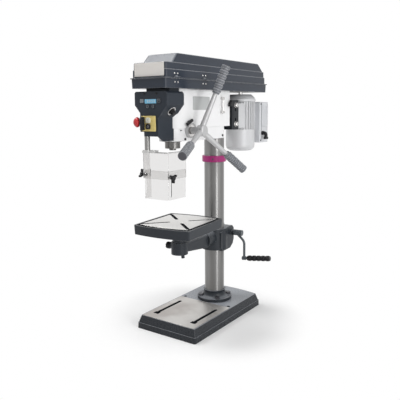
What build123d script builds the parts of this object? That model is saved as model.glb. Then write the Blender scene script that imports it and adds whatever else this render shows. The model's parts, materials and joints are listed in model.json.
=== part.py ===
from build123d import *
from math import cos, pi, radians, sin, tan
import os

os.makedirs("parts", exist_ok=True)

# Bench drill press with a V-belt drive, in millimetres and degrees.
# +X is the operator's right, +Y the back, +Z up; the origin is on the floor under the column's axis.

# Base, flange, column and collar
base_width = 251.0
base_front = -324.0
base_rear = 131.0
base_bulge = 14.0
base_corner = 5.0
base_foot_corner = 9.0
base_height = 50.0
base_flare = 12.0
base_ledge_z = 22.0
base_ledge = 2.0
base_plate = 14.0
base_wall = 10.0
base_rib = 9.0
ground_half = 121.0
ground_rear = -74.0
ground_margin = 3.0
ground_rise = 1.2
base_slot_x = 88.0
base_slot_w = 14.0
base_slot_rear = -117.0
base_slot_front = -284.0
base_key_w = 24.0
base_key_len = 20.0
anchor_x = 107.0
anchor_y = -62.0
anchor_r = 6.5
anchor_boss_r = 15.0
column_d = 80.0
column_wall = 6.0
column_top = 838.0
flange_r = 71.0
flange_h = 12.0
neck_foot_r = 57.0
neck_top_r = 46.5
neck_h = 28.0
flange_bolt_pcd = 116.0
flange_bolt_r = 5.9
flange_bolt_af = 19.0
flange_bolt_head = 8.0
flange_bolt_reach = 22.0
collar_z = 624.5
collar_h = 25.0
collar_r = 48.5

# Fits
running = 0.05
gap = 0.3

# Table side: lift rack, bracket, arm and table, drawn straight ahead and then swung aside
table_swing = 5.1
reach = 272.0
gear_module = 2.0
rack_half_w = 10.0
rack_pitch_y = 50.0
rack_bottom = 92.0
rack_top = 619.0
lift_teeth = 16
lift_z = 323.0
crank_shaft_r = 9.0
bracket_bottom = 266.0
bracket_top = 352.0
bracket_r = 54.0
tilt_z = 318.0
tilt_r = 34.0
tilt_face_y = -78.0
tilt_arm_y = -100.0
tilt_bolt_r = 8.0
crank_arm_x = 106.0
crank_radius = 106.0
crank_rod_r = 5.0
crank_grip_len = 100.0
crank_grip_r = 11.5
crank_grip_tilt = 6.6
arm_half_w = 25.0
arm_bottom = 289.0
arm_top = 344.0
boss_r = 31.0
boss_bottom = 305.0
boss_top = 350.0
table_post_r = 18.0
table_width = 231.0
table_depth = 247.0
table_bulge = 12.0
table_top = 427.0
table_h = 35.0
table_corner = 8.0
table_rim = 6.0
rim_drop = 1.0
trough_w = 11.0
trough_depth = 6.0
table_slot_w = 13.0
table_slot_inner = 34.0
table_slot_outer = 140.0

# Head, quill and spindle
head_half = 52.0
head_low_half = 48.0
head_rear = 50.0
head_rear_corner = 22.0
head_bottom = 720.0
head_step_z = 766.0
head_top = 902.0
quill_r = 27.5
quill_bottom = 694.0
quill_top = 862.0
quill_bore_top = 864.0
rack_depth = 24.0
feed_teeth = 13
feed_z = 757.0
feed_shaft_r = 10.0
low_bearing_r = 23.5
low_bearing_h = 12.0
top_bearing_r = 20.0
top_bearing_h = 12.0
spindle_nose_r = 12.5
spindle_nose_z = 687.0
spindle_body_top = 770.0
spindle_shank_r = 8.5
spindle_top = 976.0
taper_mouth_r = 8.89
taper_end_r = 7.45
taper_depth = 62.0
sleeve_r = 15.0
sleeve_bottom = 868.0
drive_bearing_r = 31.0

# Feed handle
hub_r = 20.0
hub_neck_r = 12.5
hub_start = 63.0
hub_shoulder = 88.0
hub_end = 118.0
spoke_x = 99.0
spoke_phase = 78.4
spoke_tilt = 18.8
spoke_root_r = 10.5
spoke_r = 8.0
grip_start = 138.0
grip_end = 238.0
grip_r = 15.5
grip_core_r = 13.2
grip_ribs = 6
ring_r = 27.0
ring_start = 48.6
ring_end = 61.0
spring_cap_r = 37.0
spring_cap_depth = 28.0

# Belt drive
tray_half = 80.6
tray_front = -407.0
tray_rear = 302.6
tray_bottom = head_top
tray_rim_z = 936.6
tray_draft = 1.0
tray_corner = 8.0
tray_lip = 5.0
tray_lip_h = 3.0
sheet = 2.5
cover_seam = 0.6
cover_low = tray_rim_z + cover_seam
cover_mid_z = 964.0
cover_shoulder_z = 987.0
cover_top = 1019.0
cover_corner = 8.0
tier_bevel = 2.0
# Height, half width, front and rear at the foot and head of each tier of the cover
cover_tiers = (
    (cover_low, 74.5, -396.5, 287.5),
    (cover_mid_z, 74.0, -396.0, 287.0),
    (cover_mid_z, 71.5, -394.0, 283.5),
    (cover_shoulder_z, 71.0, -393.5, 283.0),
    (cover_shoulder_z, 68.0, -352.0, 279.0),
    (cover_top, 65.0, -322.0, 243.0),
)
hinge_x = 79.0
hinge_pin_r = 1.3
hinge_knuckle_r = 2.8
hinge_ys = (-342.0, -176.0)
hinge_len = 36.0
motor_y = 205.0
pulley_z = 918.0
step_h = 17.0
step_radii = (58.0, 47.0, 36.0)
groove_depth = 9.0
groove_top_w = 13.0
groove_bottom_w = 7.0
belt_clear = 0.35

# Motor and its carriage
motor_r = 62.0
motor_bottom = 747.0
motor_top = 863.0
shield_top = 893.0
cowl_bottom = 656.0
fin_count = 32
fin_depth = 6.0
motor_shaft_r = 9.5
rotor_r = 34.0
bracket_half = 52.0
bracket_front = 59.0
bracket_rear = 103.0
bracket_low = 750.0
bracket_high = 868.0
bracket_t = 8.0
rod_x = 34.0
rod_z = 852.0
rod_r = 8.0
lock_y = 29.0
lever_y = -28.0
lever_z = 873.0
lever_drop = 53.0
box_half = 60.0
box_front = 273.0
box_depth = 76.0
box_neck_half = 34.0
box_low = 687.0
box_high = 862.0
gland_z = 728.0
gland_y = 295.0

# Control panel
panel_front = -390.0
wing_half = 72.0
panel_half = 33.0
panel_left = 49.0
wing_top = 892.0
wing_low = 848.0
wing_foot = 804.0
wing_foot_left = 822.0
wing_bevel = 7.0
panel_step = 756.0
panel_low = 741.0
panel_chin = 724.0
cheek_t = 5.0
wing_rear = -297.0
panel_rear = -303.0
neck_half = 51.0
neck_front = -350.0
switch_x = -1.0
switch_z = 784.7
switch_w = 45.0
switch_h = 52.0
switch_t = 6.0
lid_w = 46.0
lid_t = 9.0
lid_open = 55.0
lid_hinge_x = -27.5
lid_hinge_r = 3.5
mushroom_r = 17.5
mushroom_len = 20.0

# Chuck guard
post_x = -31.5
post_y = -374.0
post_r = 9.5
guard_left = -54.0
guard_right = 59.0
guard_front = -376.0
guard_left_rear = -338.0
guard_right_rear = -272.0
guard_top = 683.0
upper_shield_low = 593.0
lower_shield_top = 622.0
lower_shield_low = 521.0
shield_t = 3.0
# Back and up to the clamp knob's screw on each side
left_knob = (-363.0, 606.0)
right_knob = (-357.0, 599.0)
knob_screw_r = 3.0

spindle_y = -reach
rack_pitch_q = spindle_y + rack_depth
feed_pitch_r = gear_module * feed_teeth / 2
feed_y = rack_pitch_q + feed_pitch_r
lift_pitch_r = gear_module * lift_teeth / 2
lift_y = rack_pitch_y + lift_pitch_r
tooth_pitch = pi * gear_module
swung = Location((0, 0, 0), (0, 0, table_swing))
straight = Location()


def save(piece, name, place=straight):
    solid = piece.part.moved(place)
    solid.label = name
    export_step(solid, f"parts/{name}.step")


def facing_back(x, y, z):
    return Plane(origin=(x, y, z), x_dir=(-1, 0, 0), z_dir=(0, 1, 0))


def facing_front(x, y, z):
    return Plane(origin=(x, y, z), x_dir=(1, 0, 0), z_dir=(0, -1, 0))


def facing_right(x, y, z):
    return Plane(origin=(x, y, z), x_dir=(0, 1, 0), z_dir=(1, 0, 0))


def facing_left(x, y, z):
    return Plane(origin=(x, y, z), x_dir=(0, -1, 0), z_dir=(-1, 0, 0))


def level(z, x=0.0, y=0.0):
    return Plane(origin=(x, y, z))


def bowed_outline(half, front, rear, front_bulge, rear_bulge, corner):
    # A plate outline with straight sides, and front and rear edges that may bow outwards
    with BuildSketch() as outline:
        with BuildLine():
            Line((-half, rear), (-half, front))
            if front_bulge:
                ThreePointArc((-half, front), (0, front - front_bulge), (half, front))
            else:
                Line((-half, front), (half, front))
            Line((half, front), (half, rear))
            ThreePointArc((half, rear), (0, rear + rear_bulge), (-half, rear))
        make_face()
        fillet(outline.vertices(), corner)
    return outline.sketch


def gear_outline(teeth, phase=0.0):
    # Straight-flanked teeth, thinned for backlash, on the local XY plane
    pitch_r = gear_module * teeth / 2
    tip_r = pitch_r + 0.9 * gear_module
    root_r = pitch_r - 1.2 * gear_module
    with BuildSketch() as outline:
        Circle(root_r)
        for index in range(teeth):
            turn = phase + 360.0 * index / teeth
            with BuildSketch(mode=Mode.PRIVATE) as tooth:
                with BuildLine():
                    Polyline(
                        (root_r - 0.6, -0.92 * gear_module),
                        (pitch_r, -0.6 * gear_module),
                        (tip_r, -0.23 * gear_module),
                        (tip_r, 0.23 * gear_module),
                        (pitch_r, 0.6 * gear_module),
                        (root_r - 0.6, 0.92 * gear_module),
                        close=True,
                    )
                make_face()
            add(tooth.sketch.rotate(Axis.Z, turn))
    return outline.sketch


def tooth_space():
    # One space of a rack, opening along +X, centred on the pitch line at the local origin
    half_pitch = tooth_pitch / 4
    lean = tan(radians(20))
    out = 1.2 * gear_module
    deep = 1.25 * gear_module
    with BuildSketch() as space:
        with BuildLine():
            Polyline(
                (-deep, -half_pitch + deep * lean),
                (out, -half_pitch - out * lean),
                (out, half_pitch + out * lean),
                (-deep, half_pitch - deep * lean),
                close=True,
            )
        make_face()
    return space.sketch


# Base casting: flared skirt, ground front area, two keyhole T-slots, ribbed underside
skirt_z = base_height - base_plate
with BuildPart() as base:
    with BuildSketch():
        add(bowed_outline(base_width / 2 + base_flare, base_front - base_flare,
                          base_rear + base_flare, 0, base_bulge, base_foot_corner))
    with BuildSketch(level(base_ledge_z)):
        add(bowed_outline(base_width / 2 + base_flare - 1, base_front - base_flare + 1,
                          base_rear + base_flare - 1, 0, base_bulge, base_foot_corner - 1))
    loft()
    with BuildSketch(level(base_ledge_z)):
        add(bowed_outline(base_width / 2 + base_flare - 1 - base_ledge,
                          base_front - base_flare + 1 + base_ledge,
                          base_rear + base_flare - 1 - base_ledge, 0, base_bulge,
                          base_foot_corner - 1 - base_ledge))
    with BuildSketch(level(base_height)):
        add(bowed_outline(base_width / 2, base_front, base_rear, 0, base_bulge, base_corner))
    loft()
    with BuildSketch():
        add(bowed_outline(base_width / 2 - base_wall, base_front + base_wall,
                          base_rear - base_wall, 0, base_bulge, base_corner))
    extrude(amount=skirt_z, mode=Mode.SUBTRACT)
    rib_length = base_rear - base_front
    with BuildSketch(level(0, 0, (base_rear + base_front) / 2)):
        Rectangle(base_rib, rib_length)
        for side in (-1, 1):
            with Locations((side * base_slot_x / 2, 0)):
                Rectangle(base_rib, rib_length - base_wall)
        with Locations(*[(0, offset) for offset in (-140, -55, 30, 115)]):
            Rectangle(base_width - base_wall, base_rib)
    extrude(amount=skirt_z)
    with Locations((0, 0, 0)):
        Cylinder(flange_r, skirt_z, align=(Align.CENTER, Align.CENTER, Align.MIN))
    with Locations(*[(side * anchor_x, anchor_y, 0) for side in (-1, 1)]):
        Cylinder(anchor_boss_r, skirt_z, align=(Align.CENTER, Align.CENTER, Align.MIN))
    ground_front = base_front + ground_margin
    with BuildSketch(level(base_height, 0, (ground_rear + ground_front) / 2)):
        RectangleRounded(2 * ground_half, ground_rear - ground_front, 4)
    extrude(amount=ground_rise)
    slot_y = (base_slot_rear + base_slot_front) / 2
    slot_length = base_slot_rear - base_slot_front
    with BuildSketch():
        with Locations(*[(side * base_slot_x, slot_y) for side in (-1, 1)]):
            SlotOverall(slot_length, base_slot_w, rotation=90)
        with Locations(*[(side * base_slot_x, base_slot_front + base_key_len / 2) for side in (-1, 1)]):
            RectangleRounded(base_key_w, base_key_len, 3)
        with Locations(*[(side * anchor_x, anchor_y) for side in (-1, 1)]):
            Circle(anchor_r)
        with PolarLocations(flange_bolt_pcd / 2, 4, start_angle=45):
            Circle(flange_bolt_r)
    extrude(amount=base_height + 2 * ground_rise, mode=Mode.SUBTRACT)
save(base, "base")

# Column flange with a flared neck, its bolts, the column tube and the rack collar
with BuildPart() as column_flange:
    with BuildSketch(Plane.XZ):
        with BuildLine():
            flange_top = base_height + flange_h
            neck_end = (neck_top_r, flange_top + neck_h)
            foot_end = (neck_foot_r, flange_top)
            Polyline(neck_end, (column_d / 2, flange_top + neck_h), (column_d / 2, base_height),
                     (flange_r, base_height), (flange_r, flange_top), foot_end)
            TangentArc(foot_end, neck_end, tangent=(-1, 0.35))
        make_face()
    revolve(axis=Axis.Z)
    with BuildSketch(level(base_height)):
        with PolarLocations(flange_bolt_pcd / 2, 4, start_angle=45):
            Circle(flange_bolt_r + 0.6)
    extrude(amount=flange_h + neck_h, mode=Mode.SUBTRACT)
    with BuildSketch(level(flange_top)):
        with PolarLocations(flange_bolt_pcd / 2, 4, start_angle=45):
            Circle(flange_bolt_af * 0.62)
    extrude(amount=neck_h, mode=Mode.SUBTRACT)
save(column_flange, "column_flange")

with BuildPart() as flange_bolts:
    with BuildSketch(level(flange_top - flange_h - flange_bolt_reach)):
        with PolarLocations(flange_bolt_pcd / 2, 4, start_angle=45):
            Circle(flange_bolt_r - 0.1)
    extrude(amount=flange_h + flange_bolt_reach)
    with BuildSketch(level(flange_top)):
        with PolarLocations(flange_bolt_pcd / 2, 4, start_angle=45):
            RegularPolygon(flange_bolt_af / 2, 6, major_radius=False)
    extrude(amount=flange_bolt_head)
save(flange_bolts, "flange_bolts")

with BuildPart() as column:
    with BuildSketch(level(base_height)):
        Circle(column_d / 2)
        Circle(column_d / 2 - column_wall, mode=Mode.SUBTRACT)
    extrude(amount=column_top - base_height)
save(column, "column")

with BuildPart() as column_collar:
    with BuildSketch(level(collar_z)):
        Circle(collar_r)
        Circle(column_d / 2, mode=Mode.SUBTRACT)
    extrude(amount=collar_h)
    chamfer(column_collar.edges().filter_by(GeomType.CIRCLE).sort_by(SortBy.RADIUS)[-2:], 1.5)
save(column_collar, "column_collar")

# Lift rack: a bar that stands behind the column and turns round it with the table
with BuildPart() as rack:
    with BuildSketch(facing_right(-rack_half_w, 0, 0)):
        with Locations((column_d / 2 + gap, rack_bottom)):
            Rectangle(rack_pitch_y + 0.9 * gear_module - column_d / 2 - gap, rack_top - rack_bottom,
                      align=(Align.MIN, Align.MIN))
    extrude(amount=2 * rack_half_w)
    first_space = lift_z - tooth_pitch * int((lift_z - rack_bottom) / tooth_pitch - 0.5)
    space_count = int((rack_top - first_space) / tooth_pitch + 0.5)
    with BuildSketch(facing_right(-rack_half_w, 0, 0)):
        with Locations(*[(rack_pitch_y, first_space + index * tooth_pitch) for index in range(space_count)]):
            add(tooth_space())
    extrude(amount=2 * rack_half_w, mode=Mode.SUBTRACT)
save(rack, "rack", swung)

# Table bracket: a split sleeve on the column, with the lift gear housing at the right rear and the tilt face
housing_x = 50.0
housing_low = 260.0
housing_high = 353.0
housing_rear = 80.0
crank_boss_r = 12.0
crank_boss_end = 62.0
gearbox_half = 26.0
gearbox_rear = 91.0
ear_x = -82.0
ear_half = 15.0
clamp_slot = 4.0
clamp_z = (bracket_bottom + bracket_top) / 2
with BuildPart() as table_bracket:
    with BuildSketch(level(bracket_bottom)):
        Circle(bracket_r)
        with Locations((ear_x / 2, 0)):
            Rectangle(-ear_x, 2 * ear_half)
    extrude(amount=bracket_top - bracket_bottom)
    with BuildSketch(facing_right(0, 0, 0)):
        with BuildLine():
            Polyline((-34, housing_low + 16), (-34, bracket_top - 12), (6, housing_high),
                     (lift_y, housing_high), (housing_rear, lift_z + 16), (housing_rear, lift_z - 30),
                     (lift_y + 4, housing_low + 14), (lift_y - 20, housing_low), (-22, housing_low), close=True)
        make_face()
        fillet(vertices(), 7)
    extrude(amount=housing_x)
    with BuildSketch(facing_right(-gearbox_half, 0, 0)):
        with Locations((0, lift_z - 28)):
            Rectangle(gearbox_rear, 62, align=(Align.MIN, Align.MIN))
        fillet(vertices().group_by(Axis.Y)[-1], 10)
    extrude(amount=gearbox_half)
    with BuildSketch(facing_right(0, lift_y, lift_z)):
        Circle(crank_boss_r)
    extrude(amount=crank_boss_end)
    with BuildSketch(facing_front(0, 0, tilt_z)):
        Circle(tilt_r)
    extrude(amount=-tilt_face_y)
    chamfer(table_bracket.faces().sort_by(Axis.Y)[0].edges(), 1.5)
    with BuildSketch(level(bracket_bottom - 20)):
        Circle(column_d / 2 + running)
        with Locations((0, 40)):
            Rectangle(2 * rack_half_w + 2 * gap, rack_pitch_y + gear_module - 40 + gap,
                      align=(Align.CENTER, Align.MIN))
        with Locations((ear_x, 0)):
            Rectangle(-ear_x, clamp_slot, align=(Align.MIN, Align.CENTER))
    extrude(amount=bracket_top - bracket_bottom + 60, mode=Mode.SUBTRACT)
    with BuildSketch(facing_right(-rack_half_w - 2, lift_y, lift_z)):
        Circle(lift_pitch_r + 0.9 * gear_module + 2)
        with Locations((-lift_pitch_r, 0)):
            Rectangle(2 * lift_pitch_r, 2 * lift_pitch_r)
    extrude(amount=2 * rack_half_w + 4, mode=Mode.SUBTRACT)
    with BuildSketch(facing_right(-gearbox_half + 6, lift_y, lift_z)):
        Circle(crank_shaft_r + running)
    extrude(amount=gearbox_half + crank_boss_end, mode=Mode.SUBTRACT)
    with BuildSketch(facing_front(0, -column_d / 2 - 4, tilt_z)):
        Circle(tilt_bolt_r)
    extrude(amount=-tilt_face_y, mode=Mode.SUBTRACT)
    with BuildSketch(facing_back(ear_x + 12, -ear_half - 1, clamp_z)):
        Circle(5)
    extrude(amount=2 * ear_half + 2, mode=Mode.SUBTRACT)
save(table_bracket, "table_bracket", swung)

# Clamp lever on the bracket's ears: screw, hub and a tapered lever with a ball
clamp_x = ear_x + 12
lever_len = 62.0
lever_dir = Vector(-0.55, -0.35, 0.76).normalized()
lever_root = Vector(clamp_x, -ear_half - 8, clamp_z)
lever_side = lever_dir.cross(Vector(0, 0, 1)).normalized()
with BuildPart() as bracket_clamp_lever:
    with BuildSketch(facing_front(clamp_x, ear_half - 2, clamp_z)):
        Circle(5 - running)
    extrude(amount=2 * ear_half + 4)
    with BuildSketch(facing_front(clamp_x, -ear_half - gap, clamp_z)):
        Circle(10)
    extrude(amount=15)
    with BuildSketch(Plane(origin=lever_root, x_dir=lever_dir, z_dir=lever_dir.cross(lever_side))):
        with BuildLine():
            Polyline((lever_len + 16, 0), (0, 0), (0, 6), (lever_len, 4))
            ThreePointArc((lever_len, 4), (lever_len + 7.5, 8.5), (lever_len + 16, 0))
        make_face()
    revolve(axis=Axis(lever_root, lever_dir))
save(bracket_clamp_lever, "bracket_clamp_lever", swung)

# Crank shaft with the lift pinion cut on it
crank_shaft_end = crank_boss_end + 24
with BuildPart() as crank_shaft:
    with BuildSketch(facing_right(-gearbox_half + 8, lift_y, lift_z)):
        Circle(crank_shaft_r)
    extrude(amount=gearbox_half - 8 + crank_shaft_end)
    with BuildSketch(facing_right(-rack_half_w, lift_y, lift_z)):
        add(gear_outline(lift_teeth))
    extrude(amount=2 * rack_half_w)
save(crank_shaft, "crank_shaft", swung)

# Crank arm: hub on the shaft, a bar bent down, and the pin for the grip
crank_hub_start = crank_boss_end + 0.6
crank_hub_r = 12.0
crank_hub_end = crank_shaft_end + 10
crank_foot_z = lift_z - crank_radius
crank_foot_r = 8.0
grip_pin_r = 4.0
grip_offset = 16.0
grip_out = Vector(cos(radians(crank_grip_tilt)), 0, sin(radians(crank_grip_tilt)))
crank_foot = Vector(crank_arm_x, lift_y, crank_foot_z)


def along_grip(distance):
    # Plane across the tilted grip pin, at a distance from the foot of the crank
    return Plane(origin=crank_foot + grip_out * distance, x_dir=(0, 1, 0), z_dir=grip_out)


with BuildPart() as crank_arm:
    with BuildLine() as bar:
        FilletPolyline((crank_hub_start + 7, lift_y, lift_z - 2), (crank_arm_x, lift_y, lift_z - 34),
                       (crank_arm_x, lift_y, crank_foot_z), radius=30)
    with BuildSketch(Plane(origin=bar.line @ 0, z_dir=bar.line % 0)):
        Circle(crank_rod_r)
    sweep()
    with BuildSketch(facing_right(crank_hub_start, lift_y, lift_z)):
        Circle(crank_hub_r)
    extrude(amount=crank_hub_end - crank_hub_start)
    with BuildSketch(facing_right(crank_hub_start, lift_y, lift_z)):
        Circle(crank_shaft_r)
    extrude(amount=crank_shaft_end - crank_hub_start, mode=Mode.SUBTRACT)
    with BuildSketch(along_grip(-crank_foot_r)):
        Circle(crank_foot_r)
    extrude(amount=2 * crank_foot_r)
    with BuildSketch(along_grip(0)):
        Circle(grip_pin_r)
    extrude(amount=grip_offset + crank_grip_len - 10)
save(crank_arm, "crank_arm", swung)

# Crank grip with wide ribs, free to spin on its pin
crank_grip_ribs = 5
crank_rib_pitch = crank_grip_len / crank_grip_ribs
crank_grip_core = 9.8
with BuildPart() as crank_grip:
    with BuildSketch(along_grip(grip_offset)):
        Circle(crank_grip_core)
    extrude(amount=crank_grip_len)
    for rib in range(crank_grip_ribs):
        with BuildSketch(along_grip(grip_offset + (rib + 0.2) * crank_rib_pitch)):
            Circle(crank_grip_r)
        extrude(amount=0.6 * crank_rib_pitch)
    rib_circles = crank_grip.edges().filter_by(GeomType.CIRCLE)
    rib_edges = rib_circles.filter_by(lambda edge: edge.radius > crank_grip_core)
    chamfer(rib_edges, 1.2)
    with BuildSketch(along_grip(grip_offset)):
        Circle(grip_pin_r + running)
    extrude(amount=crank_grip_len - 9, mode=Mode.SUBTRACT)
save(crank_grip, "crank_grip", swung)

# Tilt bolt: the pivot that holds the arm against the bracket's tilt face
bolt_root_y = -column_d / 2 - 6
bolt_head_y = tilt_arm_y - 6
with BuildPart() as tilt_bolt:
    with BuildSketch(facing_front(0, bolt_root_y, tilt_z)):
        Circle(tilt_bolt_r)
    extrude(amount=bolt_root_y - bolt_head_y)
    with BuildSketch(facing_front(0, bolt_head_y, tilt_z)):
        RegularPolygon(12, 6, major_radius=False)
    extrude(amount=9)
save(tilt_bolt, "tilt_bolt", swung)

# Table arm: round tilt flange, tapering beam, boss for the table's post, lock boss and hanging pin
lock_z = arm_top - 12
lock_face_x = -boss_r - 8
lock_screw_r = 5.0
pin_r = 6.5
with BuildPart() as table_arm:
    with BuildSketch(facing_front(0, tilt_face_y - gap, tilt_z)):
        Circle(tilt_r)
    extrude(amount=tilt_face_y - gap - tilt_arm_y)
    with BuildSketch(facing_front(0, tilt_arm_y + 1, (arm_bottom + arm_top) / 2)):
        RectangleRounded(2 * arm_half_w, arm_top - arm_bottom, 8)
    with BuildSketch(facing_front(0, spindle_y, (boss_bottom + arm_top) / 2 + 2)):
        RectangleRounded(2 * arm_half_w - 6, arm_top - boss_bottom - 8, 8)
    loft()
    with BuildSketch(level(boss_bottom, 0, spindle_y)):
        Circle(boss_r)
    extrude(amount=boss_top - boss_bottom)
    with BuildSketch(facing_left(0, spindle_y, lock_z)):
        Circle(11)
    extrude(amount=-lock_face_x)
    with BuildSketch(Plane(origin=(-5, -247, boss_bottom + 6), x_dir=(1, 0, 0), z_dir=(0.12, 0.05, -1))):
        Circle(pin_r)
    extrude(amount=30)
    with BuildSketch(facing_front(0, bolt_head_y + 0.5, tilt_z)):
        Circle(16)
        Rectangle(32, 2 * (tilt_z - arm_bottom), align=(Align.CENTER, Align.MAX))
    extrude(amount=14, mode=Mode.SUBTRACT)
    with BuildSketch(facing_front(0, tilt_face_y, tilt_z)):
        Circle(tilt_bolt_r + running)
    extrude(amount=tilt_face_y - bolt_head_y + 2, mode=Mode.SUBTRACT)
    with BuildSketch(level(boss_bottom - 1, 0, spindle_y)):
        Circle(table_post_r + running)
    extrude(amount=boss_top - boss_bottom + 2, mode=Mode.SUBTRACT)
    with BuildSketch(facing_left(-table_post_r + 4, spindle_y, lock_z)):
        Circle(lock_screw_r + running)
    extrude(amount=boss_r, mode=Mode.SUBTRACT)
save(table_arm, "table_arm", swung)

# Table lock knob: a screw whose tip stands just off the table's post, with a scalloped head
with BuildPart() as table_lock_knob:
    with BuildSketch(facing_left(-table_post_r - 0.8, spindle_y, lock_z)):
        Circle(lock_screw_r)
    extrude(amount=-lock_face_x - table_post_r)
    with BuildSketch(facing_left(lock_face_x - gap, spindle_y, lock_z)):
        Circle(13)
        with PolarLocations(15, 8):
            Circle(3.5, mode=Mode.SUBTRACT)
    extrude(amount=15)
    chamfer(table_lock_knob.faces().sort_by(Axis.X)[0].edges(), 1)
save(table_lock_knob, "table_lock_knob", swung)

# Table: ground top inside a trough and rim, four diagonal slots, ribbed underside with the post below it
table_front = spindle_y - table_depth / 2
table_rear = spindle_y + table_depth / 2
table_bottom = table_top - table_h
table_plate = 14.0
table_wall = 9.0
post_bottom = 308.0


def table_outline(inset, corner):
    return bowed_outline(table_width / 2 - inset, table_front + inset, table_rear - inset, table_bulge,
                         table_bulge, corner)


with BuildPart() as table:
    with BuildSketch(level(table_bottom)):
        add(table_outline(2, table_corner - 2))
    with BuildSketch(level(table_top)):
        add(table_outline(0, table_corner))
    loft()
    with BuildSketch(level(table_bottom)):
        add(table_outline(table_wall, 4))
    extrude(amount=table_h - table_plate, mode=Mode.SUBTRACT)
    with BuildSketch(level(table_bottom + 5, 0, spindle_y)):
        Rectangle(table_width - table_wall, 8)
        Rectangle(8, table_depth - table_wall)
    extrude(amount=table_h - table_plate - 4)
    with BuildSketch(level(boss_top + gap, 0, spindle_y)):
        Circle(26)
    extrude(amount=table_bottom - boss_top + 22)
    with BuildSketch(level(post_bottom, 0, spindle_y)):
        Circle(table_post_r)
    extrude(amount=boss_top - post_bottom + 2)
    with BuildSketch(level(table_top - trough_depth)):
        add(table_outline(table_rim, table_corner - 3))
        add(table_outline(table_rim + trough_w, 6), mode=Mode.SUBTRACT)
    extrude(amount=trough_depth, mode=Mode.SUBTRACT)
    with BuildSketch(level(table_top - rim_drop)):
        add(table_outline(-1, table_corner))
        add(table_outline(table_rim + 1, 6), mode=Mode.SUBTRACT)
    extrude(amount=2 * rim_drop, mode=Mode.SUBTRACT)
    with BuildSketch(level(table_top - table_plate, 0, spindle_y)):
        with PolarLocations((table_slot_inner + table_slot_outer) / 2, 4, start_angle=45):
            SlotOverall(table_slot_outer - table_slot_inner, table_slot_w)
    extrude(amount=table_plate, mode=Mode.SUBTRACT)
save(table, "table", swung)

# Head casting: round-nosed housing with the quill, column, feed, slide rod, tension lever and lock bores
feed_journal_r = 15.5
pinion_half = 10.0
lever_shaft_r = 6.0
rod_front = -37.0
lock_bore_r = 5.0
with BuildPart() as head_casting:
    with BuildSketch(level(head_step_z)):
        with Locations((0, spindle_y)):
            Circle(head_half)
            Rectangle(2 * head_half, head_rear - spindle_y, align=(Align.CENTER, Align.MIN))
        fillet(vertices().group_by(Axis.Y)[-1], head_rear_corner)
    extrude(amount=head_top - head_step_z)
    with BuildSketch(level(head_bottom)):
        with Locations((0, spindle_y)):
            Circle(head_low_half)
            Rectangle(2 * head_low_half, -spindle_y - 2, align=(Align.CENTER, Align.MIN))
    extrude(amount=head_step_z - head_bottom)
    with BuildSketch(level(head_bottom)):
        Circle(column_d / 2)
    extrude(amount=column_top - head_bottom, mode=Mode.SUBTRACT)
    with BuildSketch(level(head_bottom, 0, spindle_y)):
        Circle(quill_r + running)
    extrude(amount=quill_bore_top - head_bottom, mode=Mode.SUBTRACT)
    with BuildSketch(level(head_bottom, 0, spindle_y)):
        Circle(top_bearing_r)
    extrude(amount=head_top - head_bottom, mode=Mode.SUBTRACT)
    with BuildSketch(level(sleeve_bottom, 0, spindle_y)):
        Circle(drive_bearing_r)
    extrude(amount=head_top - sleeve_bottom, mode=Mode.SUBTRACT)
    with BuildSketch(facing_right(-head_half, feed_y, feed_z)):
        Circle(feed_shaft_r + running)
    extrude(amount=head_half, mode=Mode.SUBTRACT)
    with BuildSketch(facing_right(-pinion_half - 1.5, feed_y, feed_z)):
        Circle(feed_journal_r + running)
    extrude(amount=head_half + pinion_half + 2, mode=Mode.SUBTRACT)
    with BuildSketch(facing_right(head_low_half, feed_y, feed_z)):
        Circle(ring_r + 0.8)
    extrude(amount=head_half, mode=Mode.SUBTRACT)
    with BuildSketch(facing_left(-head_low_half, feed_y, feed_z)):
        Circle(spring_cap_r)
    extrude(amount=head_half, mode=Mode.SUBTRACT)
    with BuildSketch(facing_front(0, head_rear, rod_z)):
        with Locations((-rod_x, 0), (rod_x, 0)):
            Circle(rod_r + running)
    extrude(amount=head_rear - rod_front + 24, mode=Mode.SUBTRACT)
    with BuildSketch(facing_left(head_half, lever_y, lever_z)):
        Circle(lever_shaft_r + running)
    extrude(amount=head_half - 10, mode=Mode.SUBTRACT)
    with BuildSketch(facing_left(head_half, lock_y, rod_z)):
        Circle(lock_bore_r + running)
    extrude(amount=head_half - rod_x, mode=Mode.SUBTRACT)
save(head_casting, "head_casting")

# Quill: a tube with a rack cut down its back and a bearing seat at each end
quill_flat_half = pinion_half + 1
quill_flat_low = feed_z - 20
quill_flat_high = feed_z + 98
with BuildPart() as quill:
    with BuildSketch(level(quill_bottom, 0, spindle_y)):
        Circle(quill_r)
        Circle(17, mode=Mode.SUBTRACT)
    extrude(amount=quill_top - quill_bottom)
    with BuildSketch(level(quill_bottom, 0, spindle_y)):
        Circle(low_bearing_r)
    extrude(amount=low_bearing_h, mode=Mode.SUBTRACT)
    with BuildSketch(level(quill_top - top_bearing_h, 0, spindle_y)):
        Circle(top_bearing_r)
    extrude(amount=top_bearing_h, mode=Mode.SUBTRACT)
    with BuildSketch(facing_right(-quill_flat_half, 0, 0)):
        with Locations((rack_pitch_q + 0.9 * gear_module, quill_flat_low)):
            Rectangle(quill_r, quill_flat_high - quill_flat_low, align=(Align.MIN, Align.MIN))
        with Locations(*[(rack_pitch_q, feed_z + index * tooth_pitch) for index in range(-2, 15)]):
            add(tooth_space())
    extrude(amount=2 * quill_flat_half, mode=Mode.SUBTRACT)
save(quill, "quill")


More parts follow.
